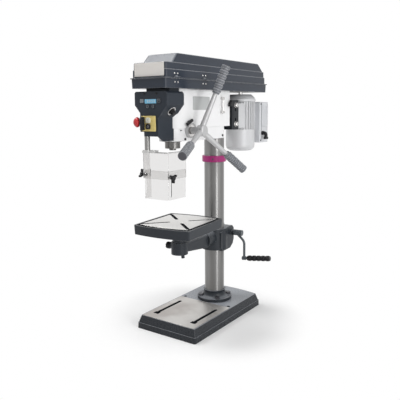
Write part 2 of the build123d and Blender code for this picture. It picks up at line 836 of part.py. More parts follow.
def bearing_section(inner, outer, low, height):
    # Half section of a shielded ball bearing, radius along X and height along Y
    lip = (outer - inner) * 0.27
    with BuildSketch() as section:
        with Locations((inner, low)):
            Rectangle(outer - inner, height, align=(Align.MIN, Align.MIN))
        for face in (low, low + height):
            with Locations(((inner + outer) / 2, face)):
                Rectangle(outer - inner - 2 * lip, 1.6, mode=Mode.SUBTRACT)
    return section.sketch


spindle_axis = Axis((0, spindle_y, 0), (0, 0, 1))
spindle_plane = Plane(origin=(0, spindle_y, 0), x_dir=(1, 0, 0), z_dir=(0, -1, 0))

with BuildPart() as quill_bearings:
    with BuildSketch(spindle_plane):
        add(bearing_section(spindle_nose_r + running, low_bearing_r, quill_bottom, low_bearing_h))
        add(bearing_section(spindle_shank_r + running, top_bearing_r, quill_top - top_bearing_h, top_bearing_h))
    revolve(axis=spindle_axis)
save(quill_bearings, "quill_bearings")

drive_bearing_h = 16.0
with BuildPart() as drive_bearings:
    with BuildSketch(spindle_plane):
        add(bearing_section(sleeve_r + running, drive_bearing_r, sleeve_bottom, drive_bearing_h))
        add(bearing_section(sleeve_r + running, drive_bearing_r, head_top - drive_bearing_h, drive_bearing_h))
    revolve(axis=spindle_axis)
save(drive_bearings, "drive_bearings")

# Spindle: taper socket in the nose, slim driven shank above
with BuildPart() as spindle:
    with BuildSketch(spindle_plane):
        with BuildLine():
            Polyline((taper_mouth_r, spindle_nose_z), (spindle_nose_r - 1, spindle_nose_z),
                     (spindle_nose_r, spindle_nose_z + 1), (spindle_nose_r, spindle_body_top),
                     (spindle_shank_r, spindle_body_top + 4), (spindle_shank_r, spindle_top - 1.5),
                     (spindle_shank_r - 1.5, spindle_top), (0, spindle_top),
                     (0, spindle_nose_z + taper_depth + 4),
                     (taper_end_r, spindle_nose_z + taper_depth), close=True)
        make_face()
    revolve(axis=spindle_axis)
save(spindle, "spindle")


def stepped_pulley(radii):
    # Half section of a cone pulley, one V-groove to each step
    with BuildSketch() as section:
        for index, radius in enumerate(radii):
            low = pulley_z + index * step_h
            mid = low + step_h / 2
            with BuildLine():
                Polyline((0, low), (radius, low), (radius, mid - groove_top_w / 2),
                         (radius - groove_depth, mid - groove_bottom_w / 2),
                         (radius - groove_depth, mid + groove_bottom_w / 2), (radius, mid + groove_top_w / 2),
                         (radius, low + step_h), (0, low + step_h), close=True)
            make_face()
    return section.sketch


with BuildPart() as spindle_pulley:
    with BuildSketch(spindle_plane):
        add(stepped_pulley(step_radii))
        with Locations((0, sleeve_bottom)):
            Rectangle(sleeve_r, pulley_z - sleeve_bottom, align=(Align.MIN, Align.MIN))
        with Locations((0, sleeve_bottom)):
            Rectangle(spindle_shank_r + running, spindle_top - sleeve_bottom, align=(Align.MIN, Align.MIN),
                      mode=Mode.SUBTRACT)
    revolve(axis=spindle_axis)
save(spindle_pulley, "spindle_pulley")

# Feed shaft with the pinion that meshes with the quill's rack, and a large journal on the handle side
journal_start = 18.5
shaft_left = -70.0
shaft_right = hub_end - 12
with BuildPart() as feed_shaft:
    with BuildSketch(facing_right(shaft_left, feed_y, feed_z)):
        Circle(feed_shaft_r)
    extrude(amount=shaft_right - shaft_left)
    with BuildSketch(facing_right(journal_start, feed_y, feed_z)):
        Circle(feed_journal_r)
    extrude(amount=head_low_half - journal_start)
    with BuildSketch(facing_right(-pinion_half, feed_y, feed_z)):
        add(gear_outline(feed_teeth, 180.0))
    extrude(amount=2 * pinion_half)
save(feed_shaft, "feed_shaft")

# Feed hub with its domed cap, three raked arms and three ribbed grips
feed_axis = Axis((0, feed_y, feed_z), (1, 0, 0))
feed_plane = Plane(origin=(0, feed_y, feed_z), x_dir=(1, 0, 0), z_dir=(0, -1, 0))
arm_seat = 13.0
arm_root = 40.0
grip_plug = 16.0


def arm_planes(along):
    # Planes across the three arms at a distance along them from the hub's axis
    planes = []
    for index in range(3):
        turn = radians(spoke_phase + 120.0 * index)
        lean = radians(spoke_tilt)
        out = Vector(sin(lean), cos(lean) * cos(turn), cos(lean) * sin(turn))
        planes.append(Plane(origin=Vector(spoke_x, feed_y, feed_z) + out * along, z_dir=out))
    return planes


with BuildPart() as feed_hub:
    with BuildSketch(feed_plane):
        with BuildLine():
            Polyline((hub_start, 0), (hub_start, hub_neck_r), (hub_shoulder, hub_neck_r),
                     (hub_shoulder, hub_r - 2), (hub_shoulder + 2, hub_r), (hub_end - 5, hub_r),
                     (hub_end - 2, hub_r - 1.5), (hub_end, hub_r - 5), (hub_end, 0), close=True)
        make_face()
    revolve(axis=feed_axis)
    with BuildSketch(facing_right(hub_start, feed_y, feed_z)):
        Circle(feed_shaft_r)
    extrude(amount=shaft_right - hub_start, mode=Mode.SUBTRACT)
    for across in arm_planes(arm_seat):
        with BuildSketch(across):
            Circle(spoke_root_r)
        extrude(amount=2 * hub_r, mode=Mode.SUBTRACT)
save(feed_hub, "feed_hub")

with BuildPart() as feed_arms:
    for index in range(3):
        with BuildSketch(arm_planes(arm_seat)[index]):
            Circle(spoke_root_r)
        extrude(amount=arm_root - arm_seat)
        with BuildSketch(arm_planes(arm_root)[index]):
            Circle(spoke_root_r)
        with BuildSketch(arm_planes(grip_start)[index]):
            Circle(spoke_r)
        loft()
        with BuildSketch(arm_planes(grip_start)[index]):
            Circle(spoke_r)
        extrude(amount=grip_end - grip_start - grip_plug)
save(feed_arms, "feed_arms")

with BuildPart() as feed_grips:
    grip_len = grip_end - grip_start
    rib_pitch = grip_len / grip_ribs
    for across in arm_planes(grip_start):
        with BuildSketch(across):
            Circle(grip_core_r)
        extrude(amount=grip_len)
    for rib in range(grip_ribs):
        for across in arm_planes(grip_end - (rib + 0.55) * rib_pitch):
            with BuildSketch(across):
                Circle(grip_r)
            extrude(amount=rib_pitch * 0.55)
    for across in arm_planes(grip_start):
        with BuildSketch(across):
            Circle(spoke_r)
        extrude(amount=grip_len - grip_plug, mode=Mode.SUBTRACT)
save(feed_grips, "feed_grips")

# Depth ring with a raised rim, and the bar that clamps it
clamp_turn = 115.0
clamp_pivot_x = 57.0
clamp_screw_r = 2.5
with BuildPart() as depth_ring:
    with BuildSketch(feed_plane):
        with BuildLine():
            Polyline((ring_start, feed_shaft_r + running), (ring_start, ring_r), (ring_end, ring_r),
                     (ring_end, ring_r - 3), (ring_end - 2, ring_r - 4), (ring_end - 2, feed_shaft_r + running),
                     close=True)
        make_face()
    revolve(axis=feed_axis)
    clamp_out = Vector(0, cos(radians(clamp_turn)), sin(radians(clamp_turn)))
    clamp_base = Vector(clamp_pivot_x, feed_y, feed_z)
    with BuildSketch(Plane(origin=clamp_base + clamp_out * 15, x_dir=(1, 0, 0), z_dir=clamp_out)):
        Circle(clamp_screw_r + running)
    extrude(amount=ring_r, mode=Mode.SUBTRACT)
save(depth_ring, "depth_ring")

with BuildPart() as depth_clamp_lever:
    with BuildSketch(Plane(origin=clamp_base + clamp_out * 15.5, x_dir=(1, 0, 0), z_dir=clamp_out)):
        Circle(clamp_screw_r)
    extrude(amount=ring_r - 12)
    with BuildSketch(Plane(origin=clamp_base + clamp_out * (ring_r + 0.6), x_dir=(1, 0, 0), z_dir=clamp_out)):
        Circle(4.2)
        with Locations((3.5, 0)):
            RectangleRounded(8, 38, 2)
    extrude(amount=10)
    chamfer(depth_clamp_lever.faces().sort_by(Axis.Z)[-1].edges(), 1)
save(depth_clamp_lever, "depth_clamp_lever")

# Spring cap on the left end of the feed shaft, and the coiled spring that lifts the quill
cap_back = -head_low_half - spring_cap_depth
with BuildPart() as spring_cap:
    with BuildSketch(facing_left(-head_low_half, feed_y, feed_z)):
        Circle(spring_cap_r)
        Circle(spring_cap_r - 3.5, mode=Mode.SUBTRACT)
    extrude(amount=spring_cap_depth)
    with BuildSketch(facing_right(cap_back, feed_y, feed_z)):
        Circle(spring_cap_r)
    extrude(amount=3)
    fillet(spring_cap.faces().sort_by(Axis.X)[0].edges(), 2)
save(spring_cap, "spring_cap")

coil_start = 12.5
coil_step = 2.25
with BuildPart() as return_spring:
    with BuildSketch(facing_left(-head_low_half - 5, feed_y, feed_z)):
        with BuildLine():
            for turn in range(8):
                here = coil_start + turn * coil_step
                there = here + coil_step
                side = 1 if turn % 2 == 0 else -1
                ThreePointArc((side * here, 0), (side * (here - there) / 2, side * (here + there) / 2),
                              (-side * there, 0))
        trace(line_width=1.0)
    extrude(amount=16)
save(return_spring, "return_spring")

# Pulley tray: a lipped pan on the head's top, with its halves of the two hinges on the right rim
hinge_z = tray_rim_z + cover_seam / 2
hinge_room = 0.7
knuckle_len = hinge_len / 3


def pan_outline(half, front, rear, corner):
    with BuildSketch() as outline:
        with Locations((0, (front + rear) / 2)):
            RectangleRounded(2 * half, rear - front, corner)
    return outline.sketch


def tray_outline(inset, corner):
    return pan_outline(tray_half - inset, tray_front + inset, tray_rear - inset, corner)


with BuildPart() as pulley_tray:
    with BuildSketch(level(tray_bottom)):
        add(tray_outline(tray_lip + tray_draft, tray_corner))
    with BuildSketch(level(tray_rim_z)):
        add(tray_outline(tray_lip, tray_corner))
    loft()
    with BuildSketch(level(tray_rim_z - tray_lip_h)):
        add(tray_outline(0, tray_corner + tray_lip))
    extrude(amount=tray_lip_h)
    with BuildSketch(level(tray_bottom + sheet)):
        add(tray_outline(tray_lip + tray_draft + sheet, tray_corner - sheet))
    with BuildSketch(level(tray_rim_z)):
        add(tray_outline(tray_lip + sheet, tray_corner - sheet))
    loft(mode=Mode.SUBTRACT)
    with BuildSketch(level(tray_bottom)):
        with Locations((0, spindle_y)):
            Circle(drive_bearing_r - 4)
        with Locations((0, motor_y - 4)):
            SlotOverall(2 * motor_shaft_r + 16, 2 * motor_shaft_r + 6, rotation=90)
    extrude(amount=2 * sheet, mode=Mode.SUBTRACT)
    for hinge_y in hinge_ys:
        with BuildSketch(facing_front(hinge_x, hinge_y + hinge_len / 2, hinge_z)):
            Circle(hinge_knuckle_r)
        extrude(amount=hinge_len)
        with BuildSketch(facing_front(hinge_x, hinge_y + knuckle_len / 2 + gap, hinge_z)):
            Circle(hinge_knuckle_r + hinge_room)
        extrude(amount=knuckle_len + 2 * gap, mode=Mode.SUBTRACT)
        with BuildSketch(facing_front(hinge_x, hinge_y + hinge_len / 2, hinge_z)):
            Circle(hinge_pin_r)
        extrude(amount=hinge_len)
save(pulley_tray, "pulley_tray")

# Belt cover: a shell of three drafted tiers, and the middle knuckle of each hinge on a short web
with BuildPart() as belt_cover:
    for inside in (0, 1):
        wall = sheet * inside
        mode = Mode.SUBTRACT if inside else Mode.ADD
        for tier in range(3):
            for z, half, front, rear in cover_tiers[2 * tier:2 * tier + 2]:
                with BuildSketch(level(z - wall)):
                    add(pan_outline(half - wall, front + wall, rear - wall, cover_corner - wall))
            loft(mode=mode)
            if not inside:
                chamfer(belt_cover.faces().sort_by(Axis.Z)[-1].edges(), tier_bevel)
    wall_x = cover_tiers[0][1]
    for hinge_y in hinge_ys:
        with BuildSketch(facing_front(0, hinge_y + knuckle_len / 2 - gap, 0)):
            with BuildLine():
                Polyline((wall_x - sheet / 2, cover_low), (wall_x - sheet / 2, cover_low + 7),
                         (hinge_x + 1.5, hinge_z + 2.2), (hinge_x, hinge_z), (hinge_x - 1, cover_low),
                         close=True)
            make_face()
            with Locations((hinge_x, hinge_z)):
                Circle(hinge_knuckle_r)
        extrude(amount=knuckle_len - 2 * gap)
        with BuildSketch(facing_front(hinge_x, hinge_y + hinge_len / 2, hinge_z)):
            Circle(hinge_pin_r + running)
        extrude(amount=hinge_len, mode=Mode.SUBTRACT)
save(belt_cover, "belt_cover")

# Motor pulley, the spindle pulley's steps the other way up
motor_axis = Axis((0, motor_y, 0), (0, 0, 1))
motor_plane = Plane(origin=(0, motor_y, 0), x_dir=(1, 0, 0), z_dir=(0, -1, 0))
shaft_top = pulley_z + 3 * step_h + 4
with BuildPart() as motor_pulley:
    with BuildSketch(motor_plane):
        add(stepped_pulley(step_radii[::-1]))
        with Locations((0, pulley_z)):
            Rectangle(motor_shaft_r, 3 * step_h, align=(Align.MIN, Align.MIN), mode=Mode.SUBTRACT)
    revolve(axis=motor_axis)
save(motor_pulley, "motor_pulley")

# V-belt in the two equal middle grooves
belt_z = pulley_z + 1.5 * step_h
belt_outer_r = step_radii[1] - 0.4
belt_inner_r = step_radii[1] - groove_depth + 0.5
belt_slope = (groove_top_w - groove_bottom_w) / 2 / groove_depth
belt_outer_half = groove_top_w / 2 - 0.4 * belt_slope - belt_clear
belt_inner_half = groove_bottom_w / 2 + 0.5 * belt_slope - belt_clear
with BuildPart() as drive_belt:
    with BuildLine():
        Line((belt_inner_r, spindle_y, belt_z), (belt_inner_r, motor_y, belt_z))
        ThreePointArc((belt_inner_r, motor_y, belt_z), (0, motor_y + belt_inner_r, belt_z),
                      (-belt_inner_r, motor_y, belt_z))
        Line((-belt_inner_r, motor_y, belt_z), (-belt_inner_r, spindle_y, belt_z))
        ThreePointArc((-belt_inner_r, spindle_y, belt_z), (0, spindle_y - belt_inner_r, belt_z),
                      (belt_inner_r, spindle_y, belt_z))
    with BuildSketch(Plane(origin=(belt_inner_r, spindle_y, belt_z), x_dir=(1, 0, 0), z_dir=(0, -1, 0))):
        with BuildLine():
            Polyline((0, -belt_inner_half), (belt_outer_r - belt_inner_r, -belt_outer_half),
                     (belt_outer_r - belt_inner_r, belt_outer_half), (0, belt_inner_half), close=True)
        make_face()
    sweep()
save(drive_belt, "drive_belt")

# Motor: finned frame with a foot, flared end shield, rounded fan cowl, rotor
rotor_low = motor_bottom + 18
rotor_high = motor_top - 18
foot_half = bracket_half - bracket_t - gap
foot_front = bracket_front + bracket_t + 1
with BuildPart() as motor_frame:
    with BuildSketch(level(motor_bottom, 0, motor_y)):
        Circle(motor_r - fin_depth)
        with PolarLocations(motor_r - fin_depth, fin_count):
            Rectangle(2 * fin_depth, 3)
    extrude(amount=motor_top - motor_bottom)
    with BuildSketch(level(motor_bottom + 8)):
        with Locations((0, foot_front)):
            Rectangle(2 * foot_half, motor_y - foot_front - 30, align=(Align.CENTER, Align.MIN))
    extrude(amount=motor_top - motor_bottom - 16)
    with BuildSketch(level(rotor_low - 2, 0, motor_y)):
        Circle(rotor_r + 0.5)
    extrude(amount=rotor_high - rotor_low + 4, mode=Mode.SUBTRACT)
    with BuildSketch(level(motor_bottom + 4, 0, motor_y)):
        Circle(motor_shaft_r + running)
    extrude(amount=motor_top - motor_bottom, mode=Mode.SUBTRACT)
save(motor_frame, "motor_frame")

with BuildPart() as motor_end_shield:
    with BuildSketch(motor_plane):
        with BuildLine():
            Polyline((motor_shaft_r + running, motor_top), (motor_r + 1, motor_top),
                     (motor_r + 3.5, motor_top + 3),
                     (motor_r + 3.5, motor_top + 9), (motor_r - 1, motor_top + 16),
                     (motor_r - 8, motor_top + 24),
                     (motor_r - 16, shield_top), (motor_shaft_r + running, shield_top), close=True)
        make_face()
    revolve(axis=motor_axis)
save(motor_end_shield, "motor_end_shield")

with BuildPart() as fan_cowl:
    with BuildSketch(motor_plane):
        with BuildLine():
            Polyline((0, cowl_bottom), (0, motor_bottom), (motor_r + 0.5, motor_bottom),
                     (motor_r + 0.5, cowl_bottom + 24))
            ThreePointArc((motor_r + 0.5, cowl_bottom + 24), (motor_r - 6.5, cowl_bottom + 7),
                          (motor_r - 23.5, cowl_bottom))
            Line((motor_r - 23.5, cowl_bottom), (0, cowl_bottom))
        make_face()
    revolve(axis=motor_axis)
save(fan_cowl, "fan_cowl")

with BuildPart() as rotor:
    with BuildSketch(motor_plane):
        with Locations((0, motor_bottom + 6)):
            Rectangle(motor_shaft_r, shaft_top - motor_bottom - 6, align=(Align.MIN, Align.MIN))
        with Locations((0, rotor_low)):
            Rectangle(rotor_r, rotor_high - rotor_low, align=(Align.MIN, Align.MIN))
    revolve(axis=motor_axis)
save(rotor, "rotor")

# Terminal box on a neck behind the motor, hollowed to the motor, with the cable gland on its right face
box_rear = box_front + box_depth
with BuildPart() as terminal_box:
    with BuildSketch(level(box_low)):
        with Locations((0, (box_front + box_rear) / 2)):
            RectangleRounded(2 * box_half, box_depth, 6)
    extrude(amount=box_high - box_low)
    chamfer(terminal_box.faces().sort_by(Axis.Z)[-1].edges(), 3)
    with BuildSketch(level(motor_bottom)):
        with Locations((0, motor_y)):
            Rectangle(2 * box_neck_half, box_front + 2 - motor_y, align=(Align.CENTER, Align.MIN))
    extrude(amount=box_high - 4 - motor_bottom)
    with BuildSketch(level(box_low, 0, motor_y)):
        Circle(motor_r + 0.5)
    extrude(amount=box_high - box_low, mode=Mode.SUBTRACT)
save(terminal_box, "terminal_box")

gland_r = 7.5
with BuildPart() as cable_gland:
    with BuildSketch(facing_right(box_half, gland_y, gland_z)):
        RegularPolygon(10, 6)
    extrude(amount=6)
    with BuildLine() as elbow:
        FilletPolyline((box_half + 5, gland_y, gland_z), (box_half + 18, gland_y, gland_z),
                       (box_half + 18, gland_y, gland_z - 26), radius=9)
    with BuildSketch(Plane(origin=elbow.line @ 0, z_dir=elbow.line % 0)):
        Circle(gland_r)
    sweep()
    with BuildSketch(level(gland_z - 26, box_half + 18, gland_y)):
        Circle(gland_r + 2.5)
    extrude(amount=9)
save(cable_gland, "cable_gland")

# Motor bracket: a U with slotted flanges, carried on two rods that slide in the head
bolt_slot = 30.0
bolt_y = 79.5
bolt_zs = (782.0, 838.0)
with BuildPart() as motor_bracket:
    with BuildSketch(level(bracket_low)):
        with Locations((0, bracket_front)):
            Rectangle(2 * bracket_half, bracket_rear - bracket_front, align=(Align.CENTER, Align.MIN))
        fillet(vertices().group_by(Axis.Y)[0], 9)
        with Locations((0, bracket_front + bracket_t)):
            Rectangle(2 * (bracket_half - bracket_t), bracket_rear - bracket_front,
                      align=(Align.CENTER, Align.MIN),
                      mode=Mode.SUBTRACT)
    extrude(amount=bracket_high - bracket_low)
    with BuildSketch(facing_right(-bracket_half, bolt_y, 0)):
        with Locations(*[(0, bolt_z) for bolt_z in bolt_zs]):
            SlotOverall(bolt_slot, 10, rotation=90)
    extrude(amount=2 * bracket_half, mode=Mode.SUBTRACT)
    with BuildSketch(facing_back(0, bracket_front, rod_z)):
        with Locations((-rod_x, 0), (rod_x, 0)):
            Circle(rod_r)
    extrude(amount=bracket_t, mode=Mode.SUBTRACT)
save(motor_bracket, "motor_bracket")

with BuildPart() as slide_rods:
    with BuildSketch(facing_back(0, rod_front, rod_z)):
        with Locations((-rod_x, 0), (rod_x, 0)):
            Circle(rod_r)
    extrude(amount=bracket_front + bracket_t - rod_front)
save(slide_rods, "slide_rods")

# Belt tension lever: cross shaft, thin rod and oval pull; and the lobed knob that locks a slide rod
lever_x = 60.0
with BuildPart() as tension_lever:
    with BuildSketch(facing_right(head_half - 38, lever_y, lever_z)):
        Circle(lever_shaft_r)
    extrude(amount=lever_x + 4 - head_half + 38)
    with BuildSketch(level(lever_z - lever_drop + 5, lever_x, lever_y)):
        Circle(2.4)
    extrude(amount=lever_drop - 5)
    with BuildSketch(facing_back(lever_x, lever_y - 9, lever_z - lever_drop)):
        Circle(5.2)
    extrude(amount=18)
    fillet(tension_lever.edges().filter_by(GeomType.CIRCLE).group_by(Axis.Z)[0], 3)
save(tension_lever, "tension_lever")


def lobed_knob(lobe_reach, lobe_r, core_r, start):
    # Three round-ended lobes on a round core
    with BuildSketch() as outline:
        Circle(core_r)
        with PolarLocations(lobe_reach / 2, 3, start_angle=start):
            SlotOverall(lobe_reach, 2 * lobe_r)
    return outline.sketch


with BuildPart() as slide_lock_knob:
    with BuildSketch(facing_right(rod_x + rod_r + 0.5, lock_y, rod_z)):
        Circle(lock_bore_r)
    extrude(amount=head_half - rod_x - rod_r)
    with BuildSketch(facing_right(head_half + gap, lock_y, rod_z)):
        Circle(7)
    extrude(amount=5)
    with BuildSketch(facing_right(head_half + gap + 4, lock_y, rod_z)):
        add(lobed_knob(15, 5, 10, 90))
    extrude(amount=13)
    chamfer(slide_lock_knob.faces().sort_by(Axis.X)[-1].edges(), 1.2)
save(slide_lock_knob, "slide_lock_knob")

# Control panel: T-shaped casing on the head's nose, with pockets for the window, keys and switch
key_square_x = 38.0
key_square_z = 860.5
key_square_w = 14.0
key_square_h = 13.0
key_round_x = 12.0
key_round_z = 842.0
key_round_r = 6.0
key_proud = 2.4
key_depth = 5.0
display_half = 25.0
display_low = 852.0
display_high = 866.0
button_x = -7.0
start_z = 795.0
stop_z = 774.5
button_w = 20.0
button_h = 18.0
button_proud = 3.0
key_gap = 0.4
knob_slope_y = -342.0
slope_mid = Vector((wing_half + panel_half) / 2, knob_slope_y, (wing_low + wing_foot) / 2)
slope_out = Vector(wing_low - wing_foot, 0, panel_half - wing_half).normalized()
slope_plane = Plane(origin=slope_mid, x_dir=(0, 1, 0), z_dir=slope_out)
knob_shaft_r = 3.0
post_seat = 66.0
plate_front = panel_front - switch_t


def square_keys(spread):
    with BuildSketch() as keys:
        with Locations((-key_square_x, key_square_z), (key_square_x, key_square_z)):
            RectangleRounded(key_square_w + spread, key_square_h + spread, 2)
    return keys.sketch


def switch_buttons(spread):
    with BuildSketch() as buttons:
        with Locations((button_x, start_z), (button_x, stop_z)):
            RectangleRounded(button_w + spread, button_h + spread, 6)
    return buttons.sketch


with BuildPart() as control_panel:
    with BuildSketch(facing_back(0, panel_front, 0)):
        with BuildLine():
            Polyline((-wing_half, wing_top - wing_bevel), (-wing_half, wing_low), (-panel_half, wing_foot),
                     (-panel_half, panel_low), (panel_half, panel_low), (panel_half, panel_step),
                     (panel_left, panel_step), (panel_left, wing_foot_left), (wing_half, wing_low),
                     (wing_half, wing_top - wing_bevel), (wing_half - wing_bevel, wing_top),
                     (wing_bevel - wing_half, wing_top), close=True)
        make_face()
    extrude(amount=wing_rear - panel_front)
    with BuildSketch(facing_right(-panel_left, 0, 0)):
        with Locations((panel_rear, panel_low)):
            Rectangle(20, wing_foot - panel_low, align=(Align.MIN, Align.MIN))
    extrude(amount=panel_left + panel_half, mode=Mode.SUBTRACT)
    chamfer(control_panel.edges().filter_by(Axis.Z).group_by(Axis.Y)[0], 2)
    with BuildSketch(facing_left(panel_half, 0, 0)):
        with BuildLine():
            Polyline((-panel_front - 2, panel_low + 2), (-panel_front - 2, panel_low),
                     (-panel_front - 26, panel_chin),
                     (-panel_rear, panel_chin), (-panel_rear, panel_low + 2), close=True)
        make_face()
    extrude(amount=cheek_t)
    with BuildSketch(level(panel_low)):
        with Locations((post_x + post_r + 6, panel_front + 6)):
            Rectangle(panel_half - cheek_t - post_x - post_r - 6, panel_rear - panel_front,
                      align=(Align.MIN, Align.MIN))
    extrude(amount=20, mode=Mode.SUBTRACT)
    with BuildSketch(level(wing_top)):
        with Locations((0, neck_front)):
            Rectangle(2 * neck_half, wing_rear - neck_front, align=(Align.CENTER, Align.MIN))
    extrude(amount=head_top - wing_top)
    with BuildSketch(level(head_step_z, 0, spindle_y)):
        Circle(head_half)
    extrude(amount=head_top - head_step_z, mode=Mode.SUBTRACT)
    with BuildSketch(level(panel_chin, 0, spindle_y)):
        Circle(head_low_half)
    extrude(amount=head_step_z - panel_chin, mode=Mode.SUBTRACT)
    with BuildSketch(facing_front(0, panel_front + key_proud + key_depth, 0)):
        add(square_keys(2 * key_gap))
        with Locations((-key_round_x, key_round_z), (key_round_x, key_round_z)):
            Circle(key_round_r + key_gap)
        add(switch_buttons(2 * key_gap))
    extrude(amount=key_proud + key_depth, mode=Mode.SUBTRACT)
    with BuildSketch(facing_front(0, panel_front + 2.5, 0)):
        with Locations((0, (display_low + display_high) / 2)):
            RectangleRounded(2 * display_half, display_high - display_low, 1.5)
    extrude(amount=2.5, mode=Mode.SUBTRACT)
    with BuildSketch(level(panel_chin, post_x, post_y)):
        Circle(post_r + running)
    extrude(amount=post_seat + 2, mode=Mode.SUBTRACT)
    with BuildSketch(slope_plane):
        Circle(knob_shaft_r + running)
    extrude(amount=-12, mode=Mode.SUBTRACT)
save(control_panel, "control_panel")

with BuildPart() as display_window:
    with BuildSketch(facing_front(0, panel_front + 2.5, 0)):
        with Locations((0, (display_low + display_high) / 2)):
            RectangleRounded(2 * display_half, display_high - display_low, 1.5)
    extrude(amount=3.0)
save(display_window, "display_window")

# Switch plate with lugs and pin for the lid, start and stop buttons
lid_hinge_y = plate_front - 4.5
lid_low = switch_z - switch_h / 2 + 3.5
lid_high = switch_z + switch_h / 2 - 3.5
lug_h = 3.0
lid_pin_r = 1.8
with BuildPart() as switch_plate:
    with BuildSketch(facing_front(switch_x, panel_front, switch_z)):
        RectangleRounded(switch_w, switch_h, 3)
    extrude(amount=switch_t)
    for lug_z in (lid_low - gap - lug_h, lid_high + gap):
        with BuildSketch(level(lug_z)):
            with Locations((lid_hinge_x, lid_hinge_y)):
                Circle(lid_hinge_r)
            with BuildLine():
                Polyline((lid_hinge_x - lid_hinge_r, lid_hinge_y), (lid_hinge_x - lid_hinge_r, panel_front - 1),
                         (switch_x - switch_w / 2 + 3, panel_front - 1),
                         (switch_x - switch_w / 2 + 3, plate_front),
                         (lid_hinge_x + lid_hinge_r, lid_hinge_y), close=True)
            make_face()
        extrude(amount=lug_h)
    with BuildSketch(level(lid_low - gap - lug_h, lid_hinge_x, lid_hinge_y)):
        Circle(lid_pin_r)
    extrude(amount=lid_high - lid_low + 2 * gap + 2 * lug_h)
    with BuildSketch(facing_front(0, panel_front, 0)):
        add(switch_buttons(2 * key_gap))
    extrude(amount=switch_t, mode=Mode.SUBTRACT)
save(switch_plate, "switch_plate")


def switch_button(name, height):
    with BuildPart() as button:
        with BuildSketch(facing_front(button_x, panel_front + key_depth - 1, height)):
            RectangleRounded(button_w, button_h, 6)
        extrude(amount=switch_t + button_proud + key_depth - 1)
        chamfer(button.faces().sort_by(Axis.Y)[0].edges(), 1)
    save(button, name)


switch_button("start_button", start_z)
switch_button("stop_button", stop_z)


def square_key(name, across):
    with BuildPart() as key:
        with BuildSketch(facing_front(across, panel_front + key_depth, key_square_z)):
            RectangleRounded(key_square_w, key_square_h, 2)
        extrude(amount=key_depth + key_proud)
        chamfer(key.faces().sort_by(Axis.Y)[0].edges(), 0.6)
    save(key, name)


def round_key(name, across):
    with BuildPart() as key:
        with BuildSketch(facing_front(across, panel_front + key_depth, key_round_z)):
            Circle(key_round_r)
        extrude(amount=key_depth + key_proud)
        chamfer(key.faces().sort_by(Axis.Y)[0].edges(), 0.8)
    save(key, name)


square_key("key_left", -key_square_x)
square_key("key_right", key_square_x)
round_key("key_lower_left", -key_round_x)
round_key("key_lower_right", key_round_x)

# Switch lid, drawn shut and then swung open about its pin, with the stop mushroom through it
lid_back = plate_front - gap
lid_face = lid_back - lid_t
mushroom_x = lid_hinge_x + lid_w / 2 + 2
mushroom_z = switch_z + 5
stem_r = 6.0
lid_wall = 1.5
opened = Location((lid_hinge_x, lid_hinge_y, 0), (0, 0, -lid_open)) * Location((-lid_hinge_x, -lid_hinge_y, 0))
with BuildPart() as switch_lid:
    with BuildSketch(facing_front(0, lid_back, 0)):
        with Locations((lid_hinge_x + 4.5, lid_low)):
            Rectangle(lid_w - 4.5, lid_high - lid_low, align=(Align.MIN, Align.MIN))
        fillet(vertices().group_by(Axis.X)[-1], 5)
    extrude(amount=lid_t)
    chamfer(switch_lid.faces().sort_by(Axis.Y)[0].edges(), 1.5)
    with BuildSketch(facing_front(0, lid_back, 0)):
        with Locations((lid_hinge_x + 7, lid_low + lid_wall)):
            Rectangle(lid_w - 7 - lid_wall, lid_high - lid_low - 2 * lid_wall, align=(Align.MIN, Align.MIN))
        fillet(vertices(), 3)
    extrude(amount=lid_t - 2.5, mode=Mode.SUBTRACT)
    with BuildSketch(level(lid_low, lid_hinge_x, lid_hinge_y)):
        Circle(lid_hinge_r)
        with Locations((0, -0.8)):
            Rectangle(6, 4, align=(Align.MIN, Align.CENTER))
        Circle(lid_pin_r + running, mode=Mode.SUBTRACT)
    extrude(amount=lid_high - lid_low)
    with BuildSketch(facing_front(mushroom_x, lid_back, mushroom_z)):
        Circle(stem_r + running)
    extrude(amount=lid_t, mode=Mode.SUBTRACT)
save(switch_lid, "switch_lid", opened)

mushroom_travel = 3.0
with BuildPart() as stop_mushroom:
    with BuildSketch(Plane(origin=(mushroom_x, lid_face + 2.3, mushroom_z), x_dir=(0, -1, 0), z_dir=(0, 0, 1))):
        with BuildLine():
            cap_start = 2.3 + mushroom_travel + 0.5
            cap_end = cap_start + mushroom_len
            Polyline((cap_end, 0), (0, 0), (0, stem_r), (cap_start, stem_r), (cap_start, mushroom_r - 4),
                     (cap_start + 4, mushroom_r - 1), (cap_start + 8, mushroom_r),
                     (cap_end - 8, mushroom_r - 1.5),
                     (cap_end - 3, mushroom_r - 6), (cap_end, mushroom_r - 12), (cap_end, 0))
        make_face()
    revolve(axis=Axis((mushroom_x, 0, mushroom_z), (0, 1, 0)))
save(stop_mushroom, "stop_mushroom", opened)

# Speed knob on the right-hand slope
with BuildPart() as speed_knob:
    with BuildSketch(slope_plane.offset(-10)):
        Circle(knob_shaft_r)
    extrude(amount=12)
    with BuildSketch(slope_plane.offset(gap)):
        Circle(11)
    extrude(amount=5)
    with BuildSketch(slope_plane.offset(gap + 4)):
        Circle(9)
        RectangleRounded(21, 7, 2.5)
    extrude(amount=11)
    chamfer(speed_knob.faces().sort_by(Axis(slope_mid, slope_out))[-1].edges(), 1)
save(speed_knob, "speed_knob")

# Chuck guard: a post with a top frame, a fixed upper shield, a sliding lower shield and two clamp knobs
guard_frame_h = 3.5
guard_block_h = 9.0
guard_block_right = 3.0
post_top = panel_chin + post_seat
shield_slot = 73.0
slot_drop = 31.5
shield_screws = ((guard_left, *left_knob), (guard_right, *right_knob))
guard_corner = 5.0


